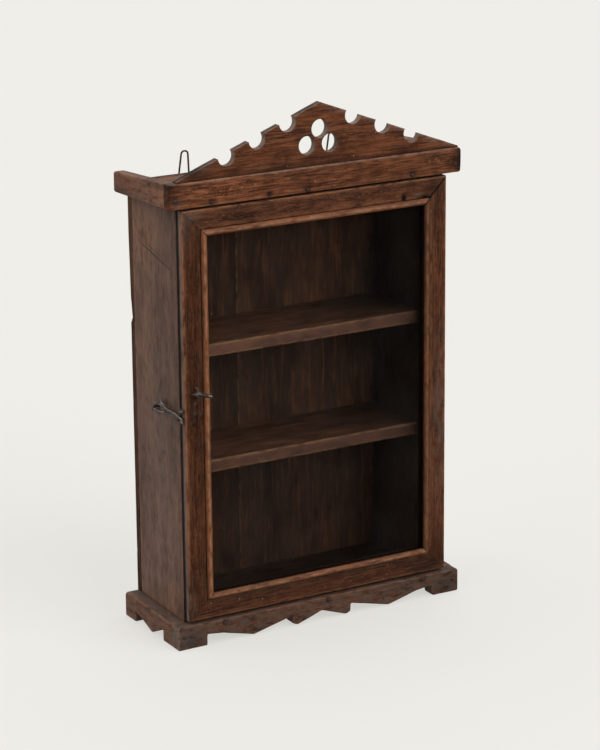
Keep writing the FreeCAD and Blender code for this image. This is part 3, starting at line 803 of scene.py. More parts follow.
    def _sunk(self, net: np.ndarray, gap: np.ndarray, side: int) -> np.ndarray:
        """How far each point of a face lies below the flat board.

        Args:
            net: Points of the face.
            gap: Their distances from the nearest edge.
            side: 0 for the low face and 1 for the high face.

        Returns:
            Depths in millimetres.
        """
        depth = np.empty(len(net))
        for k, (u, v) in enumerate(net):
            spot = (u, v, self.seed * 57 + side * 19)
            radius = self.arris * (0.7 + 0.6 * ripple(spot, self.arris_wave))
            chipped = max(0.0, ripple(spot, self.chip_size) - self.chip_level)
            radius += self.chip * chipped / (1 - self.chip_level)
            inner = max(0.0, radius - gap[k])
            depth[k] = radius - math.sqrt(radius * radius - inner * inner)
            depth[k] += self.swell * ripple(spot, self.swell_size)
        if side == 0:
            for u, v, radius, sink in self.pits:
                depth += sink * np.exp(-((net - (u, v)) ** 2).sum(1) / radius ** 2)
            for scratch in self.scratches:
                depth += scratch.depth * scratch.share(net)
        return depth

    def _dirt(self, net: np.ndarray) -> np.ndarray:
        """Finds the dirt in the pits and scratches of the near face.

        Args:
            net: Points of the face.

        Returns:
            Dirt at each point.
        """
        dirt = np.zeros(len(net))
        for u, v, radius, _ in self.pits:
            ringed = np.exp(-((net - (u, v)) ** 2).sum(1) / (radius * self.pit_spread) ** 2)
            dirt = np.maximum(dirt, self.pit_dirt * ringed)
        for scratch in self.scratches:
            dirt = np.maximum(dirt, scratch.dirt * scratch.share(net))
        return dirt

    def _marks(self, outline: np.ndarray, count: int, rim: np.ndarray, wear: np.ndarray) -> Marks:
        """Paints the faces, the edges, the bored holes and the patches of the board, with painted shade on
        the edge walls and painted light on the walls of the bored holes.

        Args:
            outline: Place of every vertex in the plane of the outline.
            count: Number of vertices of each face. The near face comes first and the far face second.
            rim: Which of a face's vertices lie on its edges.
            wear: How far each vertex is rubbed.

        Returns:
            The finished marks.
        """
        u, v = outline.T
        walls = np.ones(len(u) - 2 * count)
        ends = np.minimum(u - u.min(), u.max() - u)
        shown = 1.0 if self.end_grain else np.clip(ends / self.wall_step, 0.0, 1.0)
        cut = np.concatenate([rim * 0.5, rim * 0.5, walls]) * shown
        stain = np.concatenate([self._dirt(outline[:count]), np.zeros(len(u) - count)])
        marks = wood_marks(self.seed, wear, cut, stain, self.tone, self.dust)
        for patch in self.patches:
            patch.lay(marks, u, v)
        # Face tones: painted shade on the side panels' inner faces, and a lighter upper face of the top
        # board, partly painted light
        for side, tone in enumerate(self.face_tones):
            marks["tone"][side * count:(side + 1) * count] += tone
        # Painted shade on the edge walls, and painted light on the walls of the bored holes
        marks["tone"][2 * count:] += self.rim_shade
        for bore_u, bore_v, radius, tone in self.lit_bores:
            bored = np.hypot(u - bore_u, v - bore_v) < radius + self.bore_clear
            bored[:2 * count] = False
            marks["tone"][bored] += tone
        return marks

    def build(self) -> Piece:
        """Makes the board.

        Returns:
            Its object, with marks for wear, cut edges and stains.
        """
        rings = [self._eased(loop) for loop in self.loops]
        net, triangles, owners = self._triangles(rings)
        count = len(net)
        rim = np.zeros(count, bool)
        rim[[k for own in owners for k in own]] = True
        gap = np.where(rim, 0.0, self._distance(net, rings))
        near = self.low + self._sunk(net, gap, 0)
        far = self.high - self._sunk(net, gap, 1)
        rubbed = self.rub * np.exp(-np.maximum(0, gap - self.arris * 0.5) / self.wear_width)
        flat, deep, wear = [net, net], [near, far], [rubbed, rubbed]
        faces = triangles + [[c + count for c in reversed(t)] for t in triangles]
        layers = max(2, round((self.high - self.low) / self.wall_step))
        total = 2 * count
        for own in owners:
            rows = [own]
            for k in range(1, layers):
                level = near[own] * (1 - k / layers) + far[own] * (k / layers)
                edge = np.minimum(level - self.low, self.high - level)
                flat.append(net[own])
                deep.append(level)
                wear.append(self.rub * np.exp(-edge / self.wear_width))
                rows.append(list(range(total, total + len(own))))
                total += len(own)
            rows.append([k + count for k in own])
            for lower, upper in zip(rows, rows[1:]):
                faces.extend(zip(lower, lower[1:] + lower[:1], upper[1:] + upper[:1], upper))
        outline = np.concatenate(flat)
        points = np.empty((total, 3))
        points[:, self.plane.value] = np.column_stack([outline, np.concatenate(deep)])
        return make_object(self.name, points, faces, self._marks(outline, count, rim, np.concatenate(wear)))


def rectangle(low: Vector, high: Vector, plane: Plane) -> Loop:
    """Outline of a plain board.

    Args:
        low: Lowest corner.
        high: Highest corner.
        plane: Axes of the outline.

    Returns:
        Four corners with the wood on their left.
    """
    u, v, _ = plane.value
    return [(low[u], low[v]), (high[u], low[v]), (high[u], high[v]), (low[u], high[v])]


def plain_board(node: str, plane: Plane, seed: float, **settings: object) -> Piece:
    """Board with the box of a CAD node.

    Args:
        node: CAD node that gives the box and the name.
        plane: Axes of the outline.
        seed: Number that sets its unevenness apart.
        **settings: Other fields of the plate.

    Returns:
        The board's object.
    """
    low, high = node_box(node)
    axis = plane.value[2]
    return Plate(f"{node}_dressed", plane, [rectangle(low, high, plane)], low[axis], high[axis], seed,
                 **settings).build()


@dataclass
class MouldedBar:
    """Mitred bar of a ring about the door's opening, run along a section."""

    name: str
    bar: Bar
    section: list[tuple[float, float]]
    worn_points: list[tuple[float, float, float]]
    across: float
    low: float
    high: float
    face: float
    seed: float
    pitch: float = 2.0
    finest: float = 1.6
    dent: float = 0.3
    dent_sizes: tuple[float, float] = (30.0, 9.0)
    dent_shares: tuple[float, float] = (0.55, 0.45)
    nick: float = 1.6
    nick_size: float = 6.0
    nick_level: float = 0.74
    pit_dirt: float = 0.8
    mitre_gaps: tuple[float, float] = (0.12, 0.12)
    mitre_dirt: float = 0.75
    # Painted shade on the inner flank, and on the back of the outer side face where the gap beside the side
    # panel is
    flank_shade: float = 0.92
    shaded_back: float = 4.5
    back_shade: float = 0.9
    # Painted sheen and painted light on the outer side face and its front arris
    edge_sheen: float = 0.35
    edge_light: float = 0.0
    edge_spot: float = 0.8
    edge_reach: float = 1.6
    end_steps: tuple[float, ...] = (0.0, 0.4, 1.0)
    outer_width: float = 0.3
    outer_depth: float = 2.4
    flank_width: float = 0.5
    front_depth: float = 3.0
    back_skin: float = 0.2
    tone: float = 0.0
    pits: list[tuple[float, float, float, float]] = field(default_factory=list)
    patches: list[Patch] = field(default_factory=list)

    def _profile(self) -> np.ndarray:
        """Divides the long runs of the section.

        Returns:
            Width and depth of each point.
        """
        spaced = []
        for here, after in zip(self.section, self.section[1:] + self.section[:1]):
            here, after = np.array(here), np.array(after)
            count = max(1, math.ceil(np.linalg.norm(after - here) / self.finest))
            spaced.extend(here + (after - here) * k / count for k in range(count))
        return np.array(spaced)

    def _place(self, width: np.ndarray, depth: np.ndarray, run: np.ndarray) -> np.ndarray:
        """Puts points of the section into the frame.

        Args:
            width: Distance from the ring's outer edge.
            depth: Distance behind the door's face.
            run: Place along the bar.

        Returns:
            Points in millimetres.
        """
        deep = self.face + depth
        upright = {Bar.LEFT: -self.across + width, Bar.RIGHT: self.across - width}
        level = {Bar.BOTTOM: self.low + width, Bar.TOP: self.high - width}
        if self.bar in upright:
            return np.stack([upright[self.bar], deep, run], -1)
        return np.stack([run, deep, level[self.bar]], -1)

    def _dent(self, width: np.ndarray, depth: np.ndarray, run: np.ndarray, profile: np.ndarray) -> None:
        """Moves the bar's skin inward by dents and nicks, apart from its back.

        Args:
            width: Distances from the ring's outer edge, which are changed.
            depth: Distances behind the door's face, which are changed.
            run: Places along the bar.
            profile: Section of the bar.
        """
        middle = profile.mean(0)
        deepest = profile[:, 1].max()
        for i, k in np.argwhere(depth <= deepest - self.back_skin):
            spot = (run[i, k], width[i, k] * 3.0, self.seed * 41)
            inset = self.dent * sum(share * ripple(spot, size)
                                    for share, size in zip(self.dent_shares, self.dent_sizes))
            nicked = max(0.0, ripple(spot, self.nick_size) - self.nick_level)
            inset += self.nick * self.dent * nicked / (1 - self.nick_level)
            toward = middle - (width[i, k], depth[i, k])
            toward /= max(np.linalg.norm(toward), 1e-6)
            width[i, k] += inset * toward[0]
            depth[i, k] += inset * toward[1]

    def build(self) -> Piece:
        """Makes the bar.

        Returns:
            Its object, with marks for wear and stains.
        """
        profile = self._profile()
        ends = (self.low, self.high) if self.bar in (Bar.LEFT, Bar.RIGHT) else (-self.across, self.across)
        length = ends[1] - ends[0]
        inner = np.arange(1, math.ceil(length / self.pitch)) / math.ceil(length / self.pitch)
        close = np.array(self.end_steps) / length
        shares = np.concatenate([close, inner, 1 - close[::-1]])
        width = np.repeat(profile[None, :, 0], len(shares), 0)
        depth = np.repeat(profile[None, :, 1], len(shares), 0)
        start, end = ends[0] + width + self.mitre_gaps[0], ends[1] - width - self.mitre_gaps[1]
        run = start + (end - start) * shares[:, None]
        wear = np.zeros(width.shape)
        for w, d, reach in self.worn_points:
            wear = np.maximum(wear, np.exp(-np.hypot(width - w, depth - d) / reach))
        outer = (width < self.outer_width) & (depth > self.outer_depth)
        flank = (width > profile[:, 0].max() - self.flank_width) & (depth > -self.back_skin)
        arris = np.exp(-np.hypot(width - self.edge_spot, depth - self.edge_spot) / self.edge_reach)
        # Painted light on the outer side face and the front arris
        tone = self.tone + self.edge_light * np.maximum(outer, arris)
        deepest = profile[:, 1].max()
        self._dent(width, depth, run, profile)
        points = self._place(width, depth, run)
        # Painted shade: the back of the outer side face stands for the shade in the gap beside the side
        # panel, the inner flank for the shade in the opening. The mitre ends and the pits get dirt.
        behind = outer & (depth > deepest - self.shaded_back)
        stain = np.maximum(self.back_shade * behind, self.flank_shade * flank)
        stain[[0, 1, -2, -1]] = np.maximum(stain[[0, 1, -2, -1]], self.mitre_dirt)
        for x, z, radius, sink in self.pits:
            square = (points[..., 0] - x) ** 2 + (points[..., 2] - z) ** 2
            front = depth < self.front_depth
            points[..., 1] += sink * np.exp(-square / radius ** 2) * front
            stain = np.maximum(stain, self.pit_dirt * np.exp(-square / (radius * 1.2) ** 2) * front)
        rows, columns = width.shape
        faces = [[i * columns + k, i * columns + (k + 1) % columns,
                  (i + 1) * columns + (k + 1) % columns, (i + 1) * columns + k]
                 for i in range(rows - 1) for k in range(columns)]
        faces.append(list(range(columns)))
        faces.append([(rows - 1) * columns + k for k in reversed(range(columns))])
        # The outer side face gets a painted sheen through the dust mark
        marks = wood_marks(self.seed, wear.ravel(), outer.ravel().astype(float), stain.ravel(), tone.ravel(),
                           outer.ravel() * self.edge_sheen)
        flat = points.reshape(-1, 3)
        for patch in self.patches:
            patch.lay(marks, flat[:, 0], flat[:, 2])
        return make_object(self.name, flat, faces, marks)


# Repeated ironwork and wires, made by node trees

NAIL_SIDES = 10
NAIL_GIRTHS = (0.9, 1.15)
BLOW_SCALE = 420.0
SCREW_SIDES = 12
SLOT_LENGTH = 20.0
WIRE_SIDES = 14
BEND_POINTS = 10
SWELL_SCALE = 160.0
SWELL_LEVEL = 0.6
LEFT = Vector((-1, 0, 0))


def new_tree(name: str, sizes: dict[str, float], seed: int | None = None) -> tuple[Tree, Sockets]:
    """Starts a geometry tree with named inputs.

    Args:
        name: Name of the tree.
        sizes: Usual value of each size that the tree takes, in metres or as a share.
        seed: Usual seed, where the tree draws at random.

    Returns:
        The tree and the sockets of its inputs.
    """
    tree = bpy.data.node_groups.new(name, "GeometryNodeTree")
    tree.interface.new_socket("Geometry", in_out="INPUT", socket_type="NodeSocketGeometry")
    for title, value in sizes.items():
        tree.interface.new_socket(title, in_out="INPUT", socket_type="NodeSocketFloat").default_value = value
    if seed is not None:
        tree.interface.new_socket("Seed", in_out="INPUT", socket_type="NodeSocketInt").default_value = seed
    tree.interface.new_socket("Iron", in_out="INPUT", socket_type="NodeSocketMaterial")
    tree.interface.new_socket("Geometry", in_out="OUTPUT", socket_type="NodeSocketGeometry")
    return tree, add_node(tree, "NodeGroupInput").outputs


def end_tree(tree: Tree, shape: Socket, iron: Socket) -> None:
    """Makes the finished shape real, gives it its iron and hands it out.

    Args:
        tree: Tree to finish.
        shape: Finished shape.
        iron: Socket of its material.
    """
    real = flow(tree, "GeometryNodeRealizeInstances", {"Geometry": shape})
    dressed = flow(tree, "GeometryNodeSetMaterial", {"Geometry": real, "Material": iron})
    add_node(tree, "NodeGroupOutput", {"Geometry": dressed})


def vector_of(tree: Tree, *parts: object) -> Socket:
    """Vector of three numbers or sockets."""
    return flow(tree, "ShaderNodeCombineXYZ", dict(zip("XYZ", parts)))


def moved(tree: Tree, shape: Socket, by: Socket) -> Socket:
    """Shape moved by a vector."""
    return flow(tree, "GeometryNodeTransform", {"Geometry": shape, "Translation": by})


def shanked(tree: Tree, given: Sockets, head: Socket, sides: int) -> Socket:
    """Puts a shank under the head of a fastener.

    Args:
        tree: Tree that gets the nodes.
        given: Sockets of the tree's inputs.
        head: Shape of the head, which faces up.
        sides: Number of the shank's sides.

    Returns:
        The socket of the whole fastener.
    """
    shank = flow(tree, "GeometryNodeMeshCylinder",
                 {"Vertices": sides, "Radius": given["Shank Radius"], "Depth": given["Shank Length"]})
    below = vector_of(tree, 0.0, 0.0, calc(tree, "MULTIPLY", given["Shank Length"], -0.5))
    whole = add_node(tree, "GeometryNodeJoinGeometry")
    for shape in (head, moved(tree, shank, below)):
        tree.links.new(shape, whole.inputs[0])
    return whole.outputs[0]


def along_outward(tree: Tree) -> Socket:
    """Turn that lays a fastener along the direction of its seed point."""
    outward = flow(tree, "GeometryNodeInputNamedAttribute", {"Name": "outward"}, data_type="FLOAT_VECTOR")
    return flow(tree, "FunctionNodeAlignRotationToVector", {"Vector": outward}, axis="Z")


def own_girth(tree: Tree, share: Socket) -> Socket:
    """Share multiplied by the girth that each seed point carries."""
    girth = flow(tree, "GeometryNodeInputNamedAttribute", {"Name": "girth"}, data_type="FLOAT")
    return calc(tree, "MULTIPLY", share, girth)


def grown(name: str, seeds: Mesh, tree: Tree, iron: IronFinish,
          lengths: dict[str, float], others: dict[str, float]) -> Piece:
    """Runs a geometry tree on a seed mesh and keeps the result as a plain mesh.

    Args:
        name: Name of the piece.
        seeds: Points or path that the tree works on.
        tree: Geometry tree.
        iron: Finish of the piece.
        lengths: Named inputs that are lengths, in millimetres.
        others: Named inputs that are shares or seeds.

    Returns:
        The object with the finished mesh.
    """
    values = {title: length * MM for title, length in lengths.items()} | others | {"Iron": iron.material()}
    carrier = bpy.data.objects.new(f"{name}_seeds", seeds)
    bpy.context.scene.collection.objects.link(carrier)
    rule = carrier.modifiers.new("rule", "NODES")
    rule.node_group = tree
    for item in tree.interface.items_tree:
        if item.in_out == "INPUT" and item.name in values:
            rule[item.identifier] = values[item.name]
    graph = bpy.context.evaluated_depsgraph_get()
    mesh = bpy.data.meshes.new_from_object(carrier.evaluated_get(graph), depsgraph=graph)
    mesh.name = name
    bpy.data.objects.remove(carrier)
    mesh.shade_smooth()
    piece = bpy.data.objects.new(name, mesh)
    bpy.context.scene.collection.objects.link(piece)
    return piece


def nail_tree() -> Tree:
    """Drives a hand-made nail at each seed point, along the point's own direction.

    Returns:
        The geometry tree.
    """
    tree, given = new_tree("driven_nails", {"Head Radius": 0.002, "Head Height": 0.001, "Shank Radius": 0.001,
                                            "Shank Length": 0.02, "Hammering": 0.0004}, seed=3)
    ball = flow(tree, "GeometryNodeMeshIcoSphere", {"Radius": 1.0, "Subdivisions": 3})
    size = vector_of(tree, given["Head Radius"], given["Head Radius"], given["Head Height"])
    head = flow(tree, "GeometryNodeTransform", {"Geometry": ball, "Scale": size})
    nail = shanked(tree, given, head, NAIL_SIDES)
    drawn = add_node(tree, "FunctionNodeRandomValue",
                     {2: NAIL_GIRTHS[0], 3: NAIL_GIRTHS[1], "Seed": given["Seed"]}, data_type="FLOAT")
    placed = flow(tree, "GeometryNodeInstanceOnPoints",
                  {"Points": given["Geometry"], "Instance": nail, "Rotation": along_outward(tree),
                   "Scale": own_girth(tree, drawn.outputs[1])})
    real = flow(tree, "GeometryNodeRealizeInstances", {"Geometry": placed})
    blows = add_node(tree, "ShaderNodeTexNoise", {"Scale": BLOW_SCALE, "Detail": 1.0}).outputs["Color"]
    centred = flow(tree, "ShaderNodeVectorMath", {0: blows, 1: (0.5, 0.5, 0.5)}, operation="SUBTRACT")
    dents = flow(tree, "ShaderNodeVectorMath", {0: centred, "Scale": given["Hammering"]}, operation="SCALE")
    forged = flow(tree, "GeometryNodeSetPosition", {"Geometry": real, "Offset": dents})
    end_tree(tree, forged, given["Iron"])
    return tree


def screw_tree() -> Tree:
    """Sets a slotted screw at each seed point, along the point's own direction.

    Returns:
        The geometry tree.
    """
    tree, given = new_tree("slotted_screws", {"Head Radius": 0.002, "Head Height": 0.0008,
                                              "Slot Width": 0.0006, "Shank Radius": 0.001,
                                              "Shank Length": 0.008}, seed=5)
    head = flow(tree, "GeometryNodeMeshCone",
                {"Vertices": 2 * SCREW_SIDES, "Radius Top": given["Head Radius"],
                 "Radius Bottom": given["Shank Radius"], "Depth": given["Head Height"]})
    wide = vector_of(tree, SLOT_LENGTH * MM, given["Slot Width"], given["Head Height"])
    blade = flow(tree, "GeometryNodeMeshCube", {"Size": wide})
    raised = moved(tree, blade, vector_of(tree, 0.0, 0.0, given["Head Height"]))
    slotted = flow(tree, "GeometryNodeMeshBoolean", {"Mesh 1": head, "Mesh 2": raised},
                   operation="DIFFERENCE")
    screw = shanked(tree, given, slotted, SCREW_SIDES)
    drawn = add_node(tree, "FunctionNodeRandomValue", {2: 0.0, 3: math.pi, "Seed": given["Seed"]},
                     data_type="FLOAT")
    placed = flow(tree, "GeometryNodeInstanceOnPoints",
                  {"Points": given["Geometry"], "Instance": screw, "Rotation": along_outward(tree)})
    turned = flow(tree, "GeometryNodeRotateInstances",
                  {"Instances": placed, "Rotation": vector_of(tree, 0.0, 0.0, drawn.outputs[1])})
    end_tree(tree, turned, given["Iron"])
    return tree


def wire_tree() -> Tree:
    """Draws a round wire along a path, with bends and a slightly uneven girth.

    Returns:
        The geometry tree.
    """
    tree, given = new_tree("bent_wire", {"Wire Radius": 0.001, "Bend Radius": 0.003, "Spacing": 0.0012,
                                         "Unevenness": 0.12})
    path = flow(tree, "GeometryNodeMeshToCurve", {"Mesh": given["Geometry"]})
    bent = flow(tree, "GeometryNodeFilletCurve",
                {"Curve": path, "Count": BEND_POINTS, "Radius": given["Bend Radius"], "Limit Radius": True},
                mode="POLY")
    even = flow(tree, "GeometryNodeResampleCurve", {"Curve": bent, "Length": given["Spacing"]}, mode="LENGTH")
    swell = flow(tree, "ShaderNodeTexNoise", {"Scale": SWELL_SCALE, "Detail": 2.0})
    signed = calc(tree, "SUBTRACT", swell, SWELL_LEVEL)
    girth = own_girth(tree, calc(tree, "MULTIPLY_ADD", signed, given["Unevenness"], 1.0))
    size = calc(tree, "MULTIPLY", girth, given["Wire Radius"])
    ring = flow(tree, "GeometryNodeCurvePrimitiveCircle", {"Resolution": WIRE_SIDES, "Radius": 1.0})
    tube = flow(tree, "GeometryNodeCurveToMesh",
                {"Curve": even, "Profile Curve": ring, "Scale": size, "Fill Caps": True})
    end_tree(tree, tube, given["Iron"])
    return tree


def seed_points(name: str, places: list[tuple[Vector, Vector]], girths: list[float]) -> Mesh:
    """Loose points that carry the direction and the girth of a fastener.

    Args:
        name: Name of the mesh.
        places: Point in millimetres and outward direction of each fastener.
        girths: Size of each fastener beside the usual one.

    Returns:
        The mesh.
    """
    mesh = bpy.data.meshes.new(name)
    mesh.from_pydata([tuple(point * MM) for point, _ in places], [], [])
    store = mesh.attributes.new("outward", "FLOAT_VECTOR", "POINT")
    store.data.foreach_set("vector", [c for _, outward in places for c in outward])
    mesh.attributes.new("girth", "FLOAT", "POINT").data.foreach_set("value", girths)
    return mesh


def seed_path(name: str, points: list[Vector], girths: list[float]) -> Mesh:
    """Path of straight runs that carries the girth of a bar.

    Args:
        name: Name of the mesh.
        points: Turning points in millimetres.
        girths: Size of the bar at each point beside the usual one.

    Returns:
        The mesh.
    """
    mesh = bpy.data.meshes.new(name)
    mesh.from_pydata([tuple(p * MM) for p in points], [(k, k + 1) for k in range(len(points) - 1)], [])
    mesh.attributes.new("girth", "FLOAT", "POINT").data.foreach_set("value", girths)
    return mesh


def joined(first: Piece, second: Piece) -> Piece:
    """Puts one piece's mesh into another piece.

    Args:
        first: Piece that is kept.
        second: Piece that is removed.

    Returns:
        The first piece, with both meshes.
    """
    whole = bmesh.new()
    for piece in (first, second):
        whole.from_mesh(piece.data)
    whole.to_mesh(first.data)
    whole.free()
    bpy.data.objects.remove(second)
    first.data.shade_smooth()
    return first


# Sub-assemblies


@dataclass
class Carcass:
    """Side panels, inner boards and back boards."""

    break_foot: float = 412.0
    break_ledge: float = 419.0
    break_top: float = 447.0
    break_depth: float = 3.0
    break_shallow: float = 1.2
    worn_edge_top: float = 540.0
    worn_below: float = 0.6
    worn_length: float = 60.0
    panel_tone: float = 0.2
    joint_lap: float = 0.5
    front_ease: float = 0.8
    # Painted shade on the inner faces of the left and the right side panel
    inner_face_shade: tuple[float, float] = (-0.72, -1.0)
    panel_dust: float = 0.2
    # The top board's upper face is lighter: partly its own dusty colour, partly painted light from above
    top_face_light: float = 0.6
    weathered_dust: float = 0.3
    board_tones: dict[str, float] = field(default_factory=lambda: {
        "top_board": 0.0, "upper_shelf": 0.3, "lower_shelf": 0.15, "bottom_board": -0.55})
    # Painted light at the left and painted shade at the right of each shelf
    shelf_light_and_shade: dict[str, tuple[float, float]] = field(default_factory=lambda: {
        "upper_shelf": (0.8, -0.6), "lower_shelf": (0.6, -0.35), "bottom_board": (0.1, -0.2)})
    housing_depth: float = 5.0
    # Painted light at the top and in a band at the right of the back, and painted shade towards its bottom
    back_light_and_shade: tuple[Patch, ...] = (
        Patch(Mark.TONE, (0.0, 540.0), (240.0, 80.0), 0.75),
        Patch(Mark.TONE, (115.0, 330.0), (75.0, 600.0), 0.65),
        Patch(Mark.TONE, (0.0, 60.0), (400.0, 130.0), -0.35))
    scratches: tuple[Scratch, ...] = (
        Scratch((62.0, 531.0), (-31.0, 508.5), 1.0, 0.6, 1.0),
        Scratch((58.0, 535.5), (-12.0, 519.0), 0.7, 0.4, 0.6),
        Scratch((43.0, 168.0), (40.0, 146.0), 0.8, 0.4),
        Scratch((35.0, 166.0), (33.0, 150.0), 0.7, 0.4),
        Scratch((28.0, 160.0), (27.0, 147.0), 0.6, 0.3),
        Scratch((-20.0, 300.0), (-22.0, 262.0), 0.6, 0.3, 0.5))

    def build(self) -> None:
        """Makes and dresses every board of the case."""
        for number, node in enumerate(("left_side_panel", "right_side_panel")):
            left = node == "left_side_panel"
            inner = (0.0, self.inner_face_shade[0]) if left else (self.inner_face_shade[1], 0.0)
            low, high = node_box(node)
            low.y += self.front_ease
            panel = Plate(f"{node}_dressed", Plane.SIDE, [rectangle(low, high, Plane.SIDE)], low.x, high.x,
                          1.3 + number, arris=1.6, step=8.0, scratches=list(self.scratches) if left else [],
                          tone=self.panel_tone, dust=self.panel_dust, face_tones=inner,
                          patches=self._panel_patches(low, high)).build()
            settle(dress(panel, SIDE_WOOD.material(Grain.UPRIGHT)), "carcass", "side_wood", node)
        for number, node in enumerate(("top_board", "bottom_board", "upper_shelf", "lower_shelf")):
            self._inner_board(node, 4.1 + number * 1.7)
        self._back_boards()
        dress(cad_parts["crest_dowels"], INNER_WOOD.material(Grain.UPRIGHT))

    @staticmethod
    def _panel_patches(low: Vector, high: Vector) -> list[Patch]:
        """Knots and dirt near a panel's front edge, painted shade along that edge beside the door, painted
        shadows under the cornice and under the hook, rubbed wood at its top, and paler, greyer wood below,
        partly dust and partly a painted sheen.

        Args:
            low: Lowest corner of the panel.
            high: Highest corner of the panel.

        Returns:
            The patches.
        """
        middle = (low.y + high.y) / 2
        # The first patch is painted shade along the front edge, in the gap beside the door
        return [Patch(Mark.STAIN, (low.y, 300.0), (1.6, 900.0), 0.9),
                Patch(Mark.STAIN, (-33.0, 191.0), (2.5, 5.0), 0.5),
                Patch(Mark.STAIN, (-31.0, 141.0), (3.0, 6.0), 0.55),
                Patch(Mark.WEAR, (middle + 25, high.z - 50), (45.0, 60.0), 0.8),
                Patch(Mark.WEAR, (middle + 30, 350.0), (14.0, 120.0), 0.5),
                Patch(Mark.WEAR, (-14.0, 50.0), (22.0, 40.0), 0.8),
                Patch(Mark.WEAR, (high.y, 300.0), (2.2, 900.0), 0.8),
                # Partly dust and partly a painted sheen, greyer lower down
                Patch(Mark.DUST, (middle, 250.0), (45.0, 150.0), 0.35),
                Patch(Mark.TONE, (low.y + 8, 430.0), (16.0, 150.0), -0.15),
                Patch(Mark.TONE, (high.y, 500.0), (26.0, 160.0), 0.12),
                # Painted shadow under the cornice
                Patch(Mark.TONE, (middle, high.z), (200.0, 16.0), -0.25),
                # Painted sheen, lighter towards the bottom
                Patch(Mark.TONE, (middle, 130.0), (60.0, 110.0), 0.16),
                Patch(Mark.STAIN, (low.y + 4, low.z + 25), (30.0, 22.0), 0.35),
                # Painted shadow of the hook
                Patch(Mark.STAIN, (low.y + 14, 320.0), (11.0, 16.0), 0.35)]

    def _inner_board(self, node: str, seed: float) -> None:
        """Makes and dresses a level board.

        Args:
            node: CAD node of the board.
            seed: Number that sets its unevenness apart.
        """
        low, high = node_box(node)
        outside = node == "top_board"
        if not outside:
            low.x += self.housing_depth
            high.x -= self.housing_depth
        board = Plate(f"{node}_dressed", Plane.FLAT, [rectangle(low, high, Plane.FLAT)], low.z, high.z, seed,
                      arris=1.5, face_tones=(0.0, self.top_face_light if outside else 0.0),
                      patches=[] if outside else self._shelf_patches(node), tone=self.board_tones[node],
                      dust=self.weathered_dust if outside else 0.0).build()
        wood = FRAME_WOOD if outside else INNER_WOOD
        settle(dress(board, wood.material(Grain.ACROSS)), "carcass", "inner_wood", node)

    def _shelf_patches(self, node: str) -> list[Patch]:
        """Paints light on a shelf at its left and shade at its right.

        Args:
            node: CAD node of the shelf.

        Returns:
            The patches.
        """
        left, right = self.shelf_light_and_shade[node]
        return [Patch(Mark.TONE, (-110.0, -10.0), (90.0, 50.0), left),
                Patch(Mark.TONE, (125.0, 25.0), (75.0, 45.0), right)]

    def _back_boards(self) -> None:
        """Two upright boards, the left one with a broken outer edge."""
        low, high = node_box("back_board_left")
        edge, joint = low.x, node_box("back_board_right")[0].x
        outline = [(edge, low.z), (joint + self.joint_lap, low.z), (joint + self.joint_lap, high.z),
                   (edge, high.z), (edge, self.worn_edge_top), (edge + self.break_shallow, self.break_top),
                   (edge + self.break_depth, self.break_ledge), (edge + self.worn_below, self.break_foot),
                   (edge + self.worn_below, self.break_foot - self.worn_length)]
        dirty = Patch(Mark.STAIN, (joint, 300.0), (2.5, 900.0), 0.8)
        left = Plate("back_board_left_dressed", Plane.FRONT, [outline], low.y, high.y, 11.7, arris=1.2,
                     step=9.0, wobble=0.2, patches=[dirty, *self.back_light_and_shade]).build()
        rubbed = Patch(Mark.WEAR, (joint + 1.5, 300.0), (1.5, 900.0), 0.5)
        right = plain_board("back_board_right", Plane.FRONT, 13.4, arris=1.2, step=9.0, wobble=0.2, chip=2.2,
                            patches=[rubbed, *self.back_light_and_shade])
        for board, node in ((left, "back_board_left"), (right, "back_board_right")):
            settle(dress(board, INNER_WOOD.material(Grain.UPRIGHT)), "carcass", "inner_wood", node)


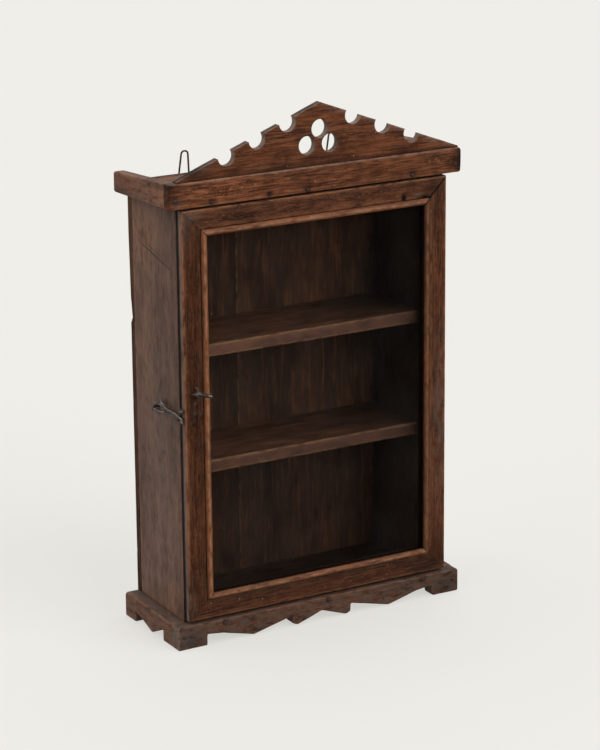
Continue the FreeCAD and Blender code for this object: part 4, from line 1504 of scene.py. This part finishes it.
@dataclass
class Cornice:
    """Tray of three boards about the top, and the crest that stands on it."""

    nail_rise: float = 4.7
    nail_places: tuple[float, ...] = (-159.0, -73.0, -18.0, 143.0)
    stain_radius: float = 3.6
    joint_lap: float = 1.6
    side_fall: float = 9.5
    side_sink: float = 4.0
    side_tone: float = 0.6
    side_dust: float = 0.42
    crest_offset: float = 5.5
    crest_half_length: float = 212.5
    crest_end_height: float = 2.0
    crest_peak: float = 83.0
    bit_radius: float = 12.0
    notch_first: float = 49.3
    notch_pitch: float = 45.0
    notch_count: int = 3
    notch_sink: float = 3.3
    end_sink: float = 3.0
    # Painted shade on the crest's sawn edges, and painted light on the walls of its holes and notches
    rim_shade: float = -1.15
    hole_highlight: float = 1.2
    notch_highlight: float = 0.95
    trefoil: tuple[tuple[float, float], ...] = ((-1.2, 48.2), (-20.5, 28.0), (14.1, 28.0))
    arc_step: float = 12.0
    dust_step: int = 8
    dust_end: int = 208

    def build(self) -> None:
        """Makes and dresses the cornice boards and the crest."""
        low, high = node_box("cornice_front_board")
        pits = [(x, low.z + self.nail_rise, self.stain_radius, 0.5) for x in self.nail_places]
        outline = [(low.x, low.z), (high.x, low.z, 4.0), (high.x, high.z, 5.0), (low.x, high.z)]
        front = Plate("cornice_front_board_dressed", Plane.FRONT, [outline], low.y, high.y, 21.3, arris=1.4,
                      step=6.0, pits=pits, tone=0.34, rub=0.5, end_grain=False,
                      patches=self._front_patches(low, high)).build()
        dress(front, FASCIA_WOOD.material(Grain.ACROSS))
        settle(front, "carcass", "frame_wood", "cornice_front_board")
        for number, node in enumerate(("cornice_left_board", "cornice_right_board")):
            low, high = node_box(node)
            low.y -= self.joint_lap
            outline = [(low.y, low.z + self.side_sink), (high.y, low.z, 4.0),
                       (high.y, high.z - self.side_fall, 5.0), (low.y, high.z)]
            board = Plate(f"{node}_dressed", Plane.SIDE, [outline], low.x, high.x, 23.9 + number, arris=1.8,
                          step=6.0, wear_width=1.2, rub=0.4, dust=self.side_dust, tone=self.side_tone,
                          patches=[Patch(Mark.SCUFF, (30.0, 612.0), (50.0, 12.0), 0.5),
                                   Patch(Mark.WEAR, (-40.0, 612.0), (30.0, 14.0), 0.45),
                                   Patch(Mark.STAIN, (70.0, 598.0), (30.0, 7.0), 0.4),
                                   Patch(Mark.STAIN, (-12.0, high.z - 2), (40.0, 3.0), 0.4)]).build()
            settle(dress(board, FRAME_WOOD.material(Grain.DEEP)), "carcass", "frame_wood", node)
        self._crest()

    @staticmethod
    def _front_patches(low: Vector, high: Vector) -> list[Patch]:
        """Grime at the ends, a dirty corner nail, pale scuffs and the dusty upper edge of the front board.

        Args:
            low: Lowest corner of the board.
            high: Highest corner of the board.

        Returns:
            The patches.
        """
        ends = [Patch(mark, (x, high.z - 16), (reach, 100.0), amount) for x in (low.x, high.x)
                for mark, reach, amount in ((Mark.STAIN, 5.0, 0.4), (Mark.TONE, 1.0, 0.2),
                                            (Mark.WEAR, 4.0, -0.9))]
        return ends + [Patch(Mark.STAIN, (low.x + 10, low.z + 12), (5.0, 6.0), 0.8),
                       Patch(Mark.DUST, (low.x + 12, low.z + 7), (6.0, 5.0), 0.6),
                       Patch(Mark.STAIN, (low.x + 10, high.z - 3), (14.0, 4.0), 0.7),
                       Patch(Mark.STAIN, (high.x - 2, high.z - 14), (9.0, 18.0), 0.6),
                       Patch(Mark.STAIN, (-75.0, low.z + 6), (4.5, 2.5), 0.4),
                       Patch(Mark.SCUFF, (-135.0, low.z + 18), (50.0, 10.0), 1.0),
                       Patch(Mark.SCUFF, (185.0, low.z + 22), (22.0, 9.0), 0.6),
                       Patch(Mark.TONE, (-150.0, low.z + 15), (60.0, 30.0), 0.35),
                       Patch(Mark.DUST, (0.0, high.z), (400.0, 1.6), 0.9)]

    def _fall(self) -> float:
        """Fall of the crest's slope for each millimetre of its length."""
        return (self.crest_peak - self.crest_end_height) / self.crest_half_length

    def _notches(self) -> list[tuple[float, float]]:
        """Distance from the crest's middle and height above its base of each notch's centre."""
        places = [self.notch_first + number * self.notch_pitch for number in range(self.notch_count)]
        return [(x, self.crest_peak - self._fall() * x - self.notch_sink) for x in places]

    def _right_slope(self) -> Loop:
        """Lays out the crest's right slope with its bored notches.

        Returns:
            Points from the end up to the peak.
        """
        tilt = math.atan(self._fall())
        lift = math.asin(self.notch_sink * math.cos(tilt) / self.bit_radius)
        first, last = lift - tilt, -math.pi - lift - tilt
        count = round(math.degrees(first - last) / self.arc_step)
        turns = [first + (last - first) * k / count for k in range(count + 1)]
        path = [(self.crest_half_length, -self.end_sink), (self.crest_half_length, self.crest_end_height)]
        for x, z in reversed(self._notches()):
            path += [(x + self.bit_radius * math.cos(a), z + self.bit_radius * math.sin(a)) for a in turns]
        return path

    def _crest(self) -> None:
        """Peaked board with notched slopes and three round holes."""
        low, high = node_box("crest_board")
        right = self._right_slope()
        half = right + [(0.0, self.crest_peak)] + [(-x, z) for x, z in reversed(right)]
        outline = [(self.crest_offset + x, low.z + z) for x, z in half]
        count = round(360 / self.arc_step)
        turns = [-2 * math.pi * k / count for k in range(count)]
        holes = [[(self.crest_offset + x + self.bit_radius * math.cos(a),
                   low.z + z + self.bit_radius * math.sin(a)) for a in turns] for x, z in self.trefoil]
        # The walls of the holes and notches get painted light
        lit_places = [(x, z, self.hole_highlight) for x, z in self.trefoil]
        lit_places += [(side * x, z, self.notch_highlight) for side in (-1, 1) for x, z in self._notches()]
        lit_bores = [(self.crest_offset + x, low.z + z, self.bit_radius, tone) for x, z, tone in lit_places]
        peak = low.z + self.crest_peak
        dusty = [Patch(mark, (self.crest_offset + x, peak - self._fall() * x), (7.0, 2.2), amount)
                 for x in range(self.dust_step, self.dust_end, self.dust_step)
                 for mark, amount in ((Mark.DUST, 0.7), (Mark.TONE, 0.2))]
        crest = Plate("crest_board_dressed", Plane.FRONT, [outline] + holes, low.y, high.y, 27.6, arris=0.6,
                      step=6.0, edge_step=2.0, wobble=0.5, chip=0.6, tone=0.6, wear_width=0.35,
                      rub=0.3, rim_shade=self.rim_shade, lit_bores=lit_bores,
                      patches=dusty + [Patch(Mark.STAIN, (0.0, low.z), (400.0, 1.6), 0.8),
                                       Patch(Mark.STAIN, (-185.0, low.z + 11), (30.0, 8.0), 0.75),
                                       Patch(Mark.DUST, (-188.0, low.z + 15), (26.0, 4.0), 0.7),
                                       Patch(Mark.TONE, (0.0, low.z + 8), (250.0, 8.0), -0.2),
                                       Patch(Mark.SCUFF, (60.0, low.z + 35), (60.0, 20.0), 0.3)]).build()
        settle(dress(crest, CREST_WOOD.material(Grain.ACROSS)), "carcass", "frame_wood", "crest_board")


@dataclass
class Plinth:
    """Three boards with cut aprons, whose ends are the feet."""

    foot_width: float = 44.0
    foot_wall: float = 15.5
    shoulder: float = 24.0
    shoulder_height: float = 12.5
    tip_height: float = 1.0
    low_point: float = 106.0
    tooth_step: float = 46.0
    tooth_step_height: float = 15.3
    tooth_drop_height: float = 4.0
    tooth_tip: float = 38.0
    tooth_slant: float = 0.5
    middle_height: float = 14.0
    side_front_foot: float = 46.0
    side_rear_foot: float = 30.0
    side_low_point: float = 79.0
    side_shoulder: float = 12.0
    worn_foot: float = 6.0
    rear_rise: float = 3.5
    rub: float = 0.4
    dust: float = 0.5
    scuffs: float = 0.45
    nail_places: tuple[float, ...] = (-150.0, 10.0, 161.0)
    nail_drop: float = 5.0
    stain_radius: float = 3.2
    joint_lap: float = 1.6

    def build(self) -> None:
        """Makes and dresses the plinth boards."""
        low, high = node_box("plinth_front_board")
        inner = high.x - self.foot_width
        half = [(0.0, self.middle_height), (self.tooth_tip, self.tip_height),
                (self.tooth_step - self.tooth_slant, self.tooth_drop_height),
                (self.tooth_step, self.tooth_step_height), (self.low_point, self.tip_height),
                (inner - self.shoulder, self.shoulder_height), (inner, self.foot_wall), (inner, low.z),
                (high.x, low.z)]
        outline = ([(-x, z) for x, z in reversed(half[1:])] + half[:-2] + [(inner, low.z, self.worn_foot)]
                   + half[-1:] + [(high.x, high.z, 4.0), (low.x, high.z)])
        pits = [(x, high.z - self.nail_drop, self.stain_radius, 0.5) for x in self.nail_places]
        front = Plate("plinth_front_board_dressed", Plane.FRONT, [outline], low.y, high.y, 31.2, arris=1.6,
                      corner=2.4, step=6.0, pits=pits, wear_width=1.0, rub=self.rub, chip=1.8, dust=self.dust,
                      end_grain=False, tone=-0.1, patches=self._front_patches(high.x)).build()
        settle(dress(front, FRAME_WOOD.material(Grain.ACROSS)), "carcass", "frame_wood", "plinth_front_board")
        for number, node in enumerate(("plinth_left_board", "plinth_right_board")):
            self._side(node, low.y, 33.5 + number)

    def _front_patches(self, end: float) -> list[Patch]:
        """Scuffs along the front board, and the dusty, dirty fronts and outer ends of its feet.

        Args:
            end: Distance of the board's ends from its middle.

        Returns:
            The patches.
        """
        patches = [Patch(Mark.SCUFF, (0.0, 16.0), (400.0, 60.0), self.scuffs)]
        for side, dust in ((-1, 0.8), (1, 0.45)):
            patches += [Patch(Mark.DUST, (side * (end - 18), 14.0), (22.0, 14.0), dust),
                        Patch(Mark.TONE, (side * (end - 18), 14.0), (22.0, 14.0), -0.3),
                        Patch(Mark.DUST, (side * end, 16.0), (1.4, 60.0), 0.5),
                        Patch(Mark.TONE, (side * end, 16.0), (1.4, 60.0), 0.45),
                        Patch(Mark.STAIN, (side * (end - 22), 8.0), (16.0, 10.0), 0.35)]
        return patches

    def _side(self, node: str, face: float, seed: float) -> None:
        """Side board with a small apron.

        Args:
            node: CAD node of the board.
            face: Front face of the plinth, from which the apron is laid out.
            seed: Number that sets its unevenness apart.
        """
        low, high = node_box(node)
        low.y -= self.joint_lap
        front, rear = face + self.side_front_foot, high.y - self.side_rear_foot
        outline = [(low.y, low.z), (front, low.z), (front, self.foot_wall),
                   (face + self.side_low_point, self.tip_height),
                   (rear - self.side_shoulder, self.shoulder_height), (rear, self.foot_wall), (rear, low.z),
                   (high.y, low.z, 3.0), (high.y, high.z + self.rear_rise, 8.0), (low.y, high.z)]
        board = Plate(f"{node}_dressed", Plane.SIDE, [outline], low.x, high.x, seed, arris=2.0, corner=1.8,
                      step=6.0, wear_width=1.2, rub=self.rub, chip=1.8, dust=self.dust, tone=0.25).build()
        settle(dress(board, FRAME_WOOD.material(Grain.DEEP)), "carcass", "frame_wood", node)


@dataclass
class Door:
    """Mitred frame with round beads, its pane and the strips that hold it."""

    frame_width: float = 36.0
    thickness: float = 13.0
    arris: float = 2.5
    bead_width: float = 9.0
    bead_seat: float = 3.5
    bead_crown: float = 3.4
    bead_side: float = 0.5
    seat_clear: float = 0.3
    ease: float = 0.7
    inner_ease: float = 0.4
    rebate_width: float = 6.0
    rebate_depth: float = 5.0
    old_nails: tuple[tuple[float, float, float], ...] = (
        (-185.7, 335.8, 2.2), (-187.5, 322.5, 2.8), (-190.7, 311.4, 2.6), (-177.8, 320.4, 1.8),
        (-176.6, 311.1, 1.7))
    rail_plug: tuple[float, float, float, float] = (133.0, 570.0, 3.6, 0.8)
    stile_nail: tuple[float, float, float, float] = (173.0, 364.0, 1.8, 0.6)
    open_mitre: float = 1.6
    bead_mitre: float = 0.2
    frame_mitre: float = 0.18
    worn_mitre: float = 0.5
    mitre_dirt: float = 0.3
    # Painted light on the frame's outer side face and its front arris
    edge_light: float = 0.9
    scuffs: float = 0.3
    frame_tones: dict[str, float] = field(default_factory=lambda: {"left": -0.15, "right": 0.05, "top": 0.0,
                                                                   "bottom": -0.25})
    bead_tones: dict[str, float] = field(default_factory=lambda: {"left": 0.2, "right": -0.3, "top": 0.2,
                                                                  "bottom": 0.05})

    def build(self) -> None:
        """Makes and dresses the frame bars, the beads and the pane."""
        low, high = node_box("door_left_stile")
        right = node_box("door_right_stile")[1].x
        face = low.y
        names = {Bar.LEFT: "door_left_stile", Bar.RIGHT: "door_right_stile", Bar.TOP: "door_top_rail",
                 Bar.BOTTOM: "door_bottom_rail"}
        pits = {Bar.RIGHT: [self.stile_nail], Bar.TOP: [self.rail_plug]}
        inset = self.frame_width - self.bead_width
        for number, bar in enumerate(Bar):
            grain = Grain.UPRIGHT if bar in (Bar.LEFT, Bar.RIGHT) else Grain.ACROSS
            worn = self.worn_mitre if bar in (Bar.TOP, Bar.RIGHT) else self.frame_mitre
            stick = MouldedBar(f"{names[bar]}_dressed", bar, self._frame_section(),
                               [(0.8, 0.8, 1.8), (inset, 0.0, 2.6)], right, low.z, high.z, face,
                               41.3 + number * 2.3, tone=self.frame_tones[bar.value], pits=pits.get(bar, []),
                               patches=self._patches(bar), edge_light=self.edge_light,
                               mitre_dirt=self.mitre_dirt, mitre_gaps=(self.frame_mitre, worn)).build()
            settle(dress(stick, FRAME_WOOD.material(grain)), "door", "frame_wood", names[bar])
            gaps = (self.bead_mitre, self.open_mitre if bar is Bar.TOP else self.bead_mitre)
            bead = MouldedBar(f"bead_{bar.value}_dressed", bar, self._bead_section(),
                              [(self.bead_width * 0.5, -self.bead_crown, 2.2)], right - inset, low.z + inset,
                              high.z - inset, face, 52.7 + number * 1.9, pitch=1.8, finest=1.2, dent=0.35,
                              tone=self.bead_tones[bar.value], mitre_gaps=gaps).build()
            settle(dress(bead, BEAD_WOOD.material(grain)), "door", "bead_wood", f"bead_{bar.value}")
            dress(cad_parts[f"glazing_strip_{bar.value}"], SHADED_STRIP_WOOD.material(grain))
        dress(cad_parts["door_glass"], GLASS.material())

    def _patches(self, bar: Bar) -> list[Patch]:
        """Grime, dust, old nail stubs and rubbed places of the frame, and a painted shadow under the bottom
        bead.

        Args:
            bar: Bar that they lie on.

        Returns:
            The patches.
        """
        stubs = [Patch(Mark.DUST, (x, z), (size, size), 1.0) for x, z, size in self.old_nails]
        stubs += [Patch(Mark.STAIN, (x + size, z - 1.2 * size), (size, size), 0.7)
                  for x, z, size in self.old_nails]
        mitre = [Patch(Mark.STAIN, (170.0 + far, 562.0 + far), (1.5, 1.5), 0.8) for far in range(0, 30, 2)]
        painted = {
            Bar.LEFT: stubs + [Patch(Mark.STAIN, (-190.0, 318.0), (7.0, 20.0), 0.4),
                               Patch(Mark.TONE, (-193.0, 430.0), (8.0, 160.0), -0.2),
                               Patch(Mark.TONE, (-176.0, 300.0), (4.0, 400.0), -0.25),
                               Patch(Mark.DUST, (-193.0, 580.0), (8.0, 30.0), 0.6),
                               Patch(Mark.DUST, (-196.0, 60.0), (6.0, 25.0), 0.5),
                               Patch(Mark.WEAR, (-202.0, 50.0), (6.0, 70.0), -0.7),
                               Patch(Mark.TONE, (-202.0, 50.0), (5.0, 80.0), -0.5)],
            Bar.RIGHT: [Patch(Mark.DUST, (190.0, 250.0), (9.0, 110.0), 0.45),
                        Patch(Mark.TONE, (185.0, 430.0), (20.0, 120.0), 0.15),
                        Patch(Mark.STAIN, (190.0, 60.0), (16.0, 40.0), 0.55)] + mitre,
            Bar.TOP: [Patch(Mark.DUST, (-188.0, 586.0), (14.0, 8.0), 0.6),
                      Patch(Mark.STAIN, (180.0, 580.0), (16.0, 12.0), 0.4),
                      Patch(Mark.STAIN, (166.0, 566.0), (8.0, 5.0), 1.3),
                      Patch(Mark.DUST, (157.0, 572.5), (6.0, 1.6), 0.9),
                      Patch(Mark.STAIN, (133.0, 569.5), (2.4, 5.0), 1.3),
                      Patch(Mark.TONE, (30.0, 575.0), (140.0, 14.0), 0.15)] + mitre,
            Bar.BOTTOM: [Patch(Mark.STAIN, (165.0, 45.0), (40.0, 12.0), 0.5),
                         # Painted shadow under the bottom bead
                         Patch(Mark.TONE, (0.0, 62.0), (400.0, 4.0), -0.35)],
        }
        return painted[bar] + [Patch(Mark.SCUFF, (0.0, 300.0), (500.0, 700.0), self.scuffs)]

    def _frame_section(self) -> list[tuple[float, float]]:
        """Lays out the section of stiles and rails.

        Returns:
            Points from the outer edge round to the back.
        """
        seat = self.frame_width - self.bead_width
        rebate = self.frame_width - self.rebate_width
        bends = [math.radians(a) for a in (0, 22.5, 45, 67.5, 90)]
        arris = [(self.arris * (1 - math.cos(a)), self.arris * (1 - math.sin(a))) for a in bends]
        groove, inner = seat - self.seat_clear, self.frame_width - self.inner_ease
        shelf = self.thickness - self.rebate_depth
        return ([(self.ease, self.thickness), (0.0, self.thickness - self.ease)] + arris
                + [(groove - self.ease, 0.0), (groove, self.ease), (groove, self.bead_seat),
                   (inner, self.bead_seat), (inner, shelf), (rebate, shelf), (rebate, self.thickness)])

    def _bead_section(self) -> list[tuple[float, float]]:
        """Lays out the half-round section of a bead.

        Returns:
            Points from the outer side round to the inner side.
        """
        half = self.bead_width / 2
        rise = self.bead_crown - self.bead_side
        bends = [math.radians(a) for a in range(180, -1, -15)]
        dome = [(half + half * math.cos(a), -self.bead_side - rise * math.sin(a)) for a in bends]
        return [(0.0, self.bead_seat)] + dome + [(self.bead_width, self.bead_seat)]


@dataclass
class Fasteners:
    """Nails of the boards and screws of the hinges, and the dark iron of the hinges."""

    nail_head: float = 2.4
    nail_height: float = 0.9
    sunk_place: float = -73.0
    sunk_girth: float = 0.5
    nail_shank: float = 1.0
    nail_length: float = 28.0
    hammering: float = 0.5
    screw_head: float = 2.0
    screw_height: float = 0.8
    slot_width: float = 0.55
    screw_shank: float = 1.0
    screw_length: float = 8.5

    def build(self) -> None:
        """Drives the nails and screws where the CAD has them, and dresses the hinges."""
        tree = nail_tree()
        for number, node in enumerate(("cornice_nails", "plinth_nails", "back_nails")):
            places = self._heads(node)
            girths = [self.sunk_girth if not outward.y or abs(point.x - self.sunk_place) < 1.0 else 1.0
                      for point, outward in places]
            piece = grown(f"{node}_driven", seed_points(f"{node}_seeds", places, girths), tree, NAIL_IRON,
                          {"Head Radius": self.nail_head, "Head Height": self.nail_height,
                           "Shank Radius": self.nail_shank, "Shank Length": self.nail_length,
                           "Hammering": self.hammering}, {"Seed": 7 + number})
            settle(piece, "carcass", "iron", node)
        tree = screw_tree()
        for node, body in (("hinge_fixed_screws", "carcass"), ("hinge_door_screws", "door")):
            places = self._heads(node)
            points = seed_points(f"{node}_seeds", places, [1.0] * len(places))
            piece = grown(f"{node}_set", points, tree, IRON,
                          {"Head Radius": self.screw_head, "Head Height": self.screw_height,
                           "Slot Width": self.slot_width, "Shank Radius": self.screw_shank,
                           "Shank Length": self.screw_length}, {"Seed": 11})
            settle(piece, body, "iron", node)
        for level in ("upper", "lower"):
            for part in ("hinge_fixed_leaf", "hinge_door_leaf", "hinge_pin"):
                dress(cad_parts[f"{level}_{part}"], IRON.material())

    @staticmethod
    def _heads(node: str) -> list[tuple[Vector, Vector]]:
        """Finds each fastener of a CAD node and the way that its head faces.

        Args:
            node: CAD node that holds separate nails or screws.

        Returns:
            Point under each head, in millimetres, and its outward direction.
        """
        copy = bmesh.new()
        copy.from_mesh(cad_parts[node].data)
        bmesh.ops.remove_doubles(copy, verts=copy.verts, dist=1e-6)
        left, places = set(copy.verts), []
        while left:
            stack = [left.pop()]
            island = [stack[0]]
            while stack:
                for edge in stack.pop().link_edges:
                    for vert in edge.verts:
                        if vert in left:
                            left.discard(vert)
                            stack.append(vert)
                            island.append(vert)
            points = np.array([v.co for v in island])
            extent = points.max(0) - points.min(0)
            axis = int(extent.argmax())
            centre = (points.max(0) + points.min(0)) / 2
            radius = np.delete(points - centre, axis, 1)
            widest = points[np.hypot(radius[:, 0], radius[:, 1]).argmax(), axis]
            sign = 1.0 if widest > centre[axis] else -1.0
            outward = Vector([sign if k == axis else 0.0 for k in range(3)])
            centre[axis] = widest
            places.append((Vector(centre) / MM, outward))
        copy.free()
        return sorted(places, key=lambda place: tuple(place[0]))


@dataclass
class HangingWires:
    """Two narrow loops of stiff wire, driven into the back."""

    radius: float = 1.25
    offset: float = 113.3
    foot_height: float = 586.0
    wide_foot: float = 12.0
    near_foot: float = 6.5
    apex_half_width: float = 4.6
    anchor: float = 8.0
    bend: float = 4.37
    spacing: float = 1.2
    unevenness: float = 0.2

    def build(self) -> None:
        """Bends and dresses both wires."""
        tree = wire_tree()
        for node, side in (("hanging_wire_left", -1), ("hanging_wire_right", 1)):
            high = node_box(node)[1]
            deep = high.y - self.radius
            middle = side * self.offset
            path = []
            for hand, order in ((-1, (0, 1, 2)), (1, (2, 1, 0))):
                half = self.wide_foot if hand < 0 else self.near_foot
                foot, apex = middle + hand * half, middle + hand * self.apex_half_width
                run = [Vector((foot, deep - self.anchor, self.foot_height)),
                       Vector((foot, deep, self.foot_height)), Vector((apex, deep, high.z - self.radius))]
                path.extend(run[k] for k in order)
            piece = grown(f"{node}_bent", seed_path(f"{node}_path", path, [1.0] * len(path)), tree, NAIL_IRON,
                          {"Wire Radius": self.radius, "Bend Radius": self.bend, "Spacing": self.spacing},
                          {"Unevenness": self.unevenness})
            settle(piece, "carcass", "iron", node)


@dataclass
class SideHook:
    """Forged hook on the left side, its pivot nail and its catch."""

    tail_radius: float = 1.3
    tail_proud: float = 0.8
    tail_bend: float = 2.0
    tail_spacing: float = 0.9
    tail_unevenness: float = 0.3
    knob_rise: float = 2.4
    knob_radius: float = 1.0
    knob_height: float = 0.55
    knob_shank: float = 0.3
    knob_shank_length: float = 0.5
    pivot_head: float = 2.1
    catch_head: float = 2.3
    head_height: float = 1.5
    shank: float = 1.6
    shank_length: float = 15.0
    hammering: float = 0.6
    blade: tuple[tuple[float, float], ...] = (
        (25.0, 308.4), (18.9, 308.2), (8.7, 309.8), (-0.7, 311.5), (-10.1, 313.0), (-23.0, 314.7),
        (-37.2, 315.6), (-48.4, 315.8), (-55.4, 315.1), (-61.0, 315.5), (-61.6, 317.4), (-58.6, 319.1),
        (-51.4, 320.9), (-43.1, 322.3), (-26.2, 322.2), (-19.8, 322.4), (-14.9, 323.5), (-11.4, 325.7),
        (-7.9, 327.9), (-4.4, 328.6), (1.4, 327.6), (7.3, 325.2), (12.6, 321.6), (18.6, 316.4), (24.4, 311.0))
    eye: tuple[tuple[float, float], ...] = (
        (16.0, 314.4), (13.6, 318.4), (8.3, 320.4), (-1.9, 321.4), (-9.0, 320.4), (-12.5, 318.2),
        (-10.2, 316.1), (-3.0, 314.9), (5.6, 314.0), (13.2, 313.2))
    tail: tuple[tuple[float, float, float], ...] = (
        (2.0, 326.0, 0.6), (-1.0, 327.0, 0.8), (-6.6, 330.2, 1.05), (-12.3, 329.1, 1.05), (-19.3, 327.0, 1.0),
        (-26.0, 325.2, 0.75), (-28.0, 324.6, 0.35))
    knobs: tuple[tuple[float, float, float], ...] = ((-56.6, 327.0, 4.3), (-57.0, 312.0, 3.3))

    def build(self) -> None:
        """Forges and dresses the hook and its nails."""
        low, high = node_box("side_hook")
        loops = [list(reversed(self.blade)), list(reversed(self.eye))]
        blade = Plate("side_hook_forged", Plane.SIDE, loops, low.x, high.x, 71.4, arris=1.3, step=3.0,
                      edge_step=1.2, wobble=0.3, swell=0.5, chip=0.3, wear_width=0.7, rub=0.8).build()
        middle = (low.x + high.x) / 2 - self.tail_proud
        path = seed_path("side_hook_tail", [Vector((middle, y, z)) for y, z, _ in self.tail],
                         [girth for _, _, girth in self.tail])
        tail = grown("side_hook_tail", path, wire_tree(), IRON,
                     {"Wire Radius": self.tail_radius, "Bend Radius": self.tail_bend,
                      "Spacing": self.tail_spacing}, {"Unevenness": self.tail_unevenness})
        seats = [(Vector((low.x + self.knob_rise, y, z)), LEFT) for y, z, _ in self.knobs]
        points = seed_points("side_hook_knobs", seats, [size for _, _, size in self.knobs])
        knobs = grown("side_hook_knobs", points, nail_tree(), IRON,
                      {"Head Radius": self.knob_radius, "Head Height": self.knob_height,
                       "Shank Radius": self.knob_shank, "Shank Length": self.knob_shank_length,
                       "Hammering": self.hammering}, {"Seed": 5})
        hook = dress(joined(joined(blade, tail), knobs), IRON.material())
        settle(hook, "hook", "iron", "side_hook")
        for node, body, size in (("hook_pivot_nail", "carcass", self.pivot_head),
                                 ("hook_catch_nail", "door", self.catch_head)):
            low, high = node_box(node)
            seat = Vector((low.x + self.head_height, (low.y + high.y) / 2, (low.z + high.z) / 2))
            nail = grown(f"{node}_driven", seed_points(f"{node}_seed", [(seat, LEFT)], [1.0]), nail_tree(),
                         NAIL_IRON, {"Head Radius": size, "Head Height": self.head_height,
                                     "Shank Radius": self.shank, "Shank Length": self.shank_length,
                                     "Hammering": self.hammering}, {"Seed": 3})
            settle(nail, body, "iron", node)


@dataclass
class Pull:
    """Forged bar pull on its staple."""

    height: float = 351.0
    tail: float = 10.5
    reach: float = 21.5
    turn: float = 28.0
    droop: float = 0.05
    girth: float = 2.4
    staple_sink: float = 1.4
    bend: float = 2.5
    spacing: float = 0.8
    unevenness: float = 0.25

    def build(self) -> None:
        """Forges and dresses the bar, and dresses its staple."""
        low, high = node_box("pull_staple")
        axis = Vector(((low.x + high.x) / 2, low.y + self.staple_sink, self.height))
        turn = math.radians(self.turn)
        ahead = Vector((math.sin(turn), -math.cos(turn), -self.droop))
        along = [(LEFT, self.tail, 0.3), (LEFT, self.tail - 1.0, 0.6), (LEFT, self.tail * 0.6, 0.75),
                 (LEFT, 3.0, 1.1), (ahead, 1.5, 1.5), (ahead, 5.0, 1.25), (ahead, self.reach * 0.6, 1.05),
                 (ahead, self.reach - 1.2, 0.95), (ahead, self.reach, 0.45)]
        path = seed_path("pull_bar_path", [axis + way * far for way, far, _ in along],
                         [girth for _, _, girth in along])
        bar = grown("pull_bar_forged", path, wire_tree(), IRON,
                    {"Wire Radius": self.girth, "Bend Radius": self.bend, "Spacing": self.spacing},
                    {"Unevenness": self.unevenness})
        settle(bar, "pull", "iron", "pull_bar")
        dress(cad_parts["pull_staple"], IRON.material())


@dataclass(frozen=True)
class Sun:
    """Wide, even light from one side."""

    name: str
    source: tuple[float, float, float]
    strength: float
    angle: float

    def build(self) -> None:
        """Hangs the light."""
        lamp = bpy.data.lights.new(self.name, "SUN")
        lamp.energy = self.strength
        lamp.angle = math.radians(self.angle)
        hung = bpy.data.objects.new(self.name, lamp)
        hung.rotation_euler = Vector(self.source).to_track_quat("Z", "Y").to_euler()
        bpy.context.scene.collection.objects.link(hung)


@dataclass
class Studio:
    """Pale floor, soft light and the camera."""

    floor_colour: str = "#f0eee9"
    floor_glow: float = 0.72
    glow_strength: float = 0.945
    floor_half: float = 40.0
    sky_colour: str = "#ffffff"
    sky_strength: float = 0.22
    suns: tuple[Sun, ...] = (Sun("front", (0.5, -1.0, 0.75), 1.9, 55.0),
                             Sun("left", (-1.0, 0.25, 0.5), 1.4, 80.0),
                             Sun("behind_right", (0.5, 0.5, 1.5), 1.3, 70.0))
    eye: tuple[float, float, float] = (-1.8149, -3.1605, 1.4040)
    sight: tuple[float, float, float] = (0.4791, 0.8311, -0.2825)
    up: tuple[float, float, float] = (0.1494, 0.2399, 0.9592)
    lens: float = 135.5
    farthest: float = 200.0

    def build(self) -> None:
        """Lays the floor, sets the light and places the camera."""
        scene = bpy.context.scene
        scene.view_settings.view_transform = "Standard"
        self._floor()
        sky = bpy.data.worlds.new("studio_sky")
        sky.use_nodes = True
        glow = sky.node_tree.nodes["Background"]
        glow.inputs["Color"].default_value = linear(self.sky_colour)
        glow.inputs["Strength"].default_value = self.sky_strength
        scene.world = sky
        for sun in self.suns:
            sun.build()
        self._camera()

    def _floor(self) -> None:
        """Wide pale floor that partly glows, so that its shadows stay faint."""
        reach = self.floor_half
        mesh = bpy.data.meshes.new("studio_floor")
        mesh.from_pydata([(-reach, -reach, 0), (reach, -reach, 0), (reach, reach, 0), (-reach, reach, 0)], [],
                         [(0, 1, 2, 3)])
        floor = bpy.data.objects.new("studio_floor", mesh)
        bpy.context.scene.collection.objects.link(floor)
        paper, tree = new_material("pale_paper_floor")
        colour = linear(self.floor_colour)
        matt = flow(tree, "ShaderNodeBsdfDiffuse", {"Color": colour})
        glow = flow(tree, "ShaderNodeEmission", {"Color": colour, "Strength": self.glow_strength})
        both = flow(tree, "ShaderNodeMixShader", {0: self.floor_glow, 1: matt, 2: glow})
        add_node(tree, "ShaderNodeOutputMaterial", {"Surface": both})
        mesh.materials.append(paper)
        floor.visible_diffuse = False
        floor.visible_glossy = False
        floor.visible_shadow = False

    def _camera(self) -> None:
        """Camera with the long lens of the photograph's view."""
        data = bpy.data.cameras.new("camera")
        data.lens = self.lens
        data.clip_end = self.farthest
        camera = bpy.data.objects.new("camera", data)
        ahead = Vector(self.sight).normalized()
        side = ahead.cross(Vector(self.up)).normalized()
        over = side.cross(ahead)
        turn = Matrix((side, over, -ahead)).transposed().to_4x4()
        camera.matrix_world = Matrix.Translation(self.eye) @ turn
        bpy.context.scene.collection.objects.link(camera)
        bpy.context.scene.camera = camera


def main() -> None:
    """Builds the sub-assemblies in order."""
    logging.basicConfig(level=logging.INFO, format="%(name)s %(message)s")
    for part in (Carcass(), Cornice(), Plinth(), Door(), Fasteners(), HangingWires(), SideHook(), Pull(),
                 Studio()):
        LOG.info("building %s", type(part).__name__)
        part.build()


if __name__ == "__main__":
    main()
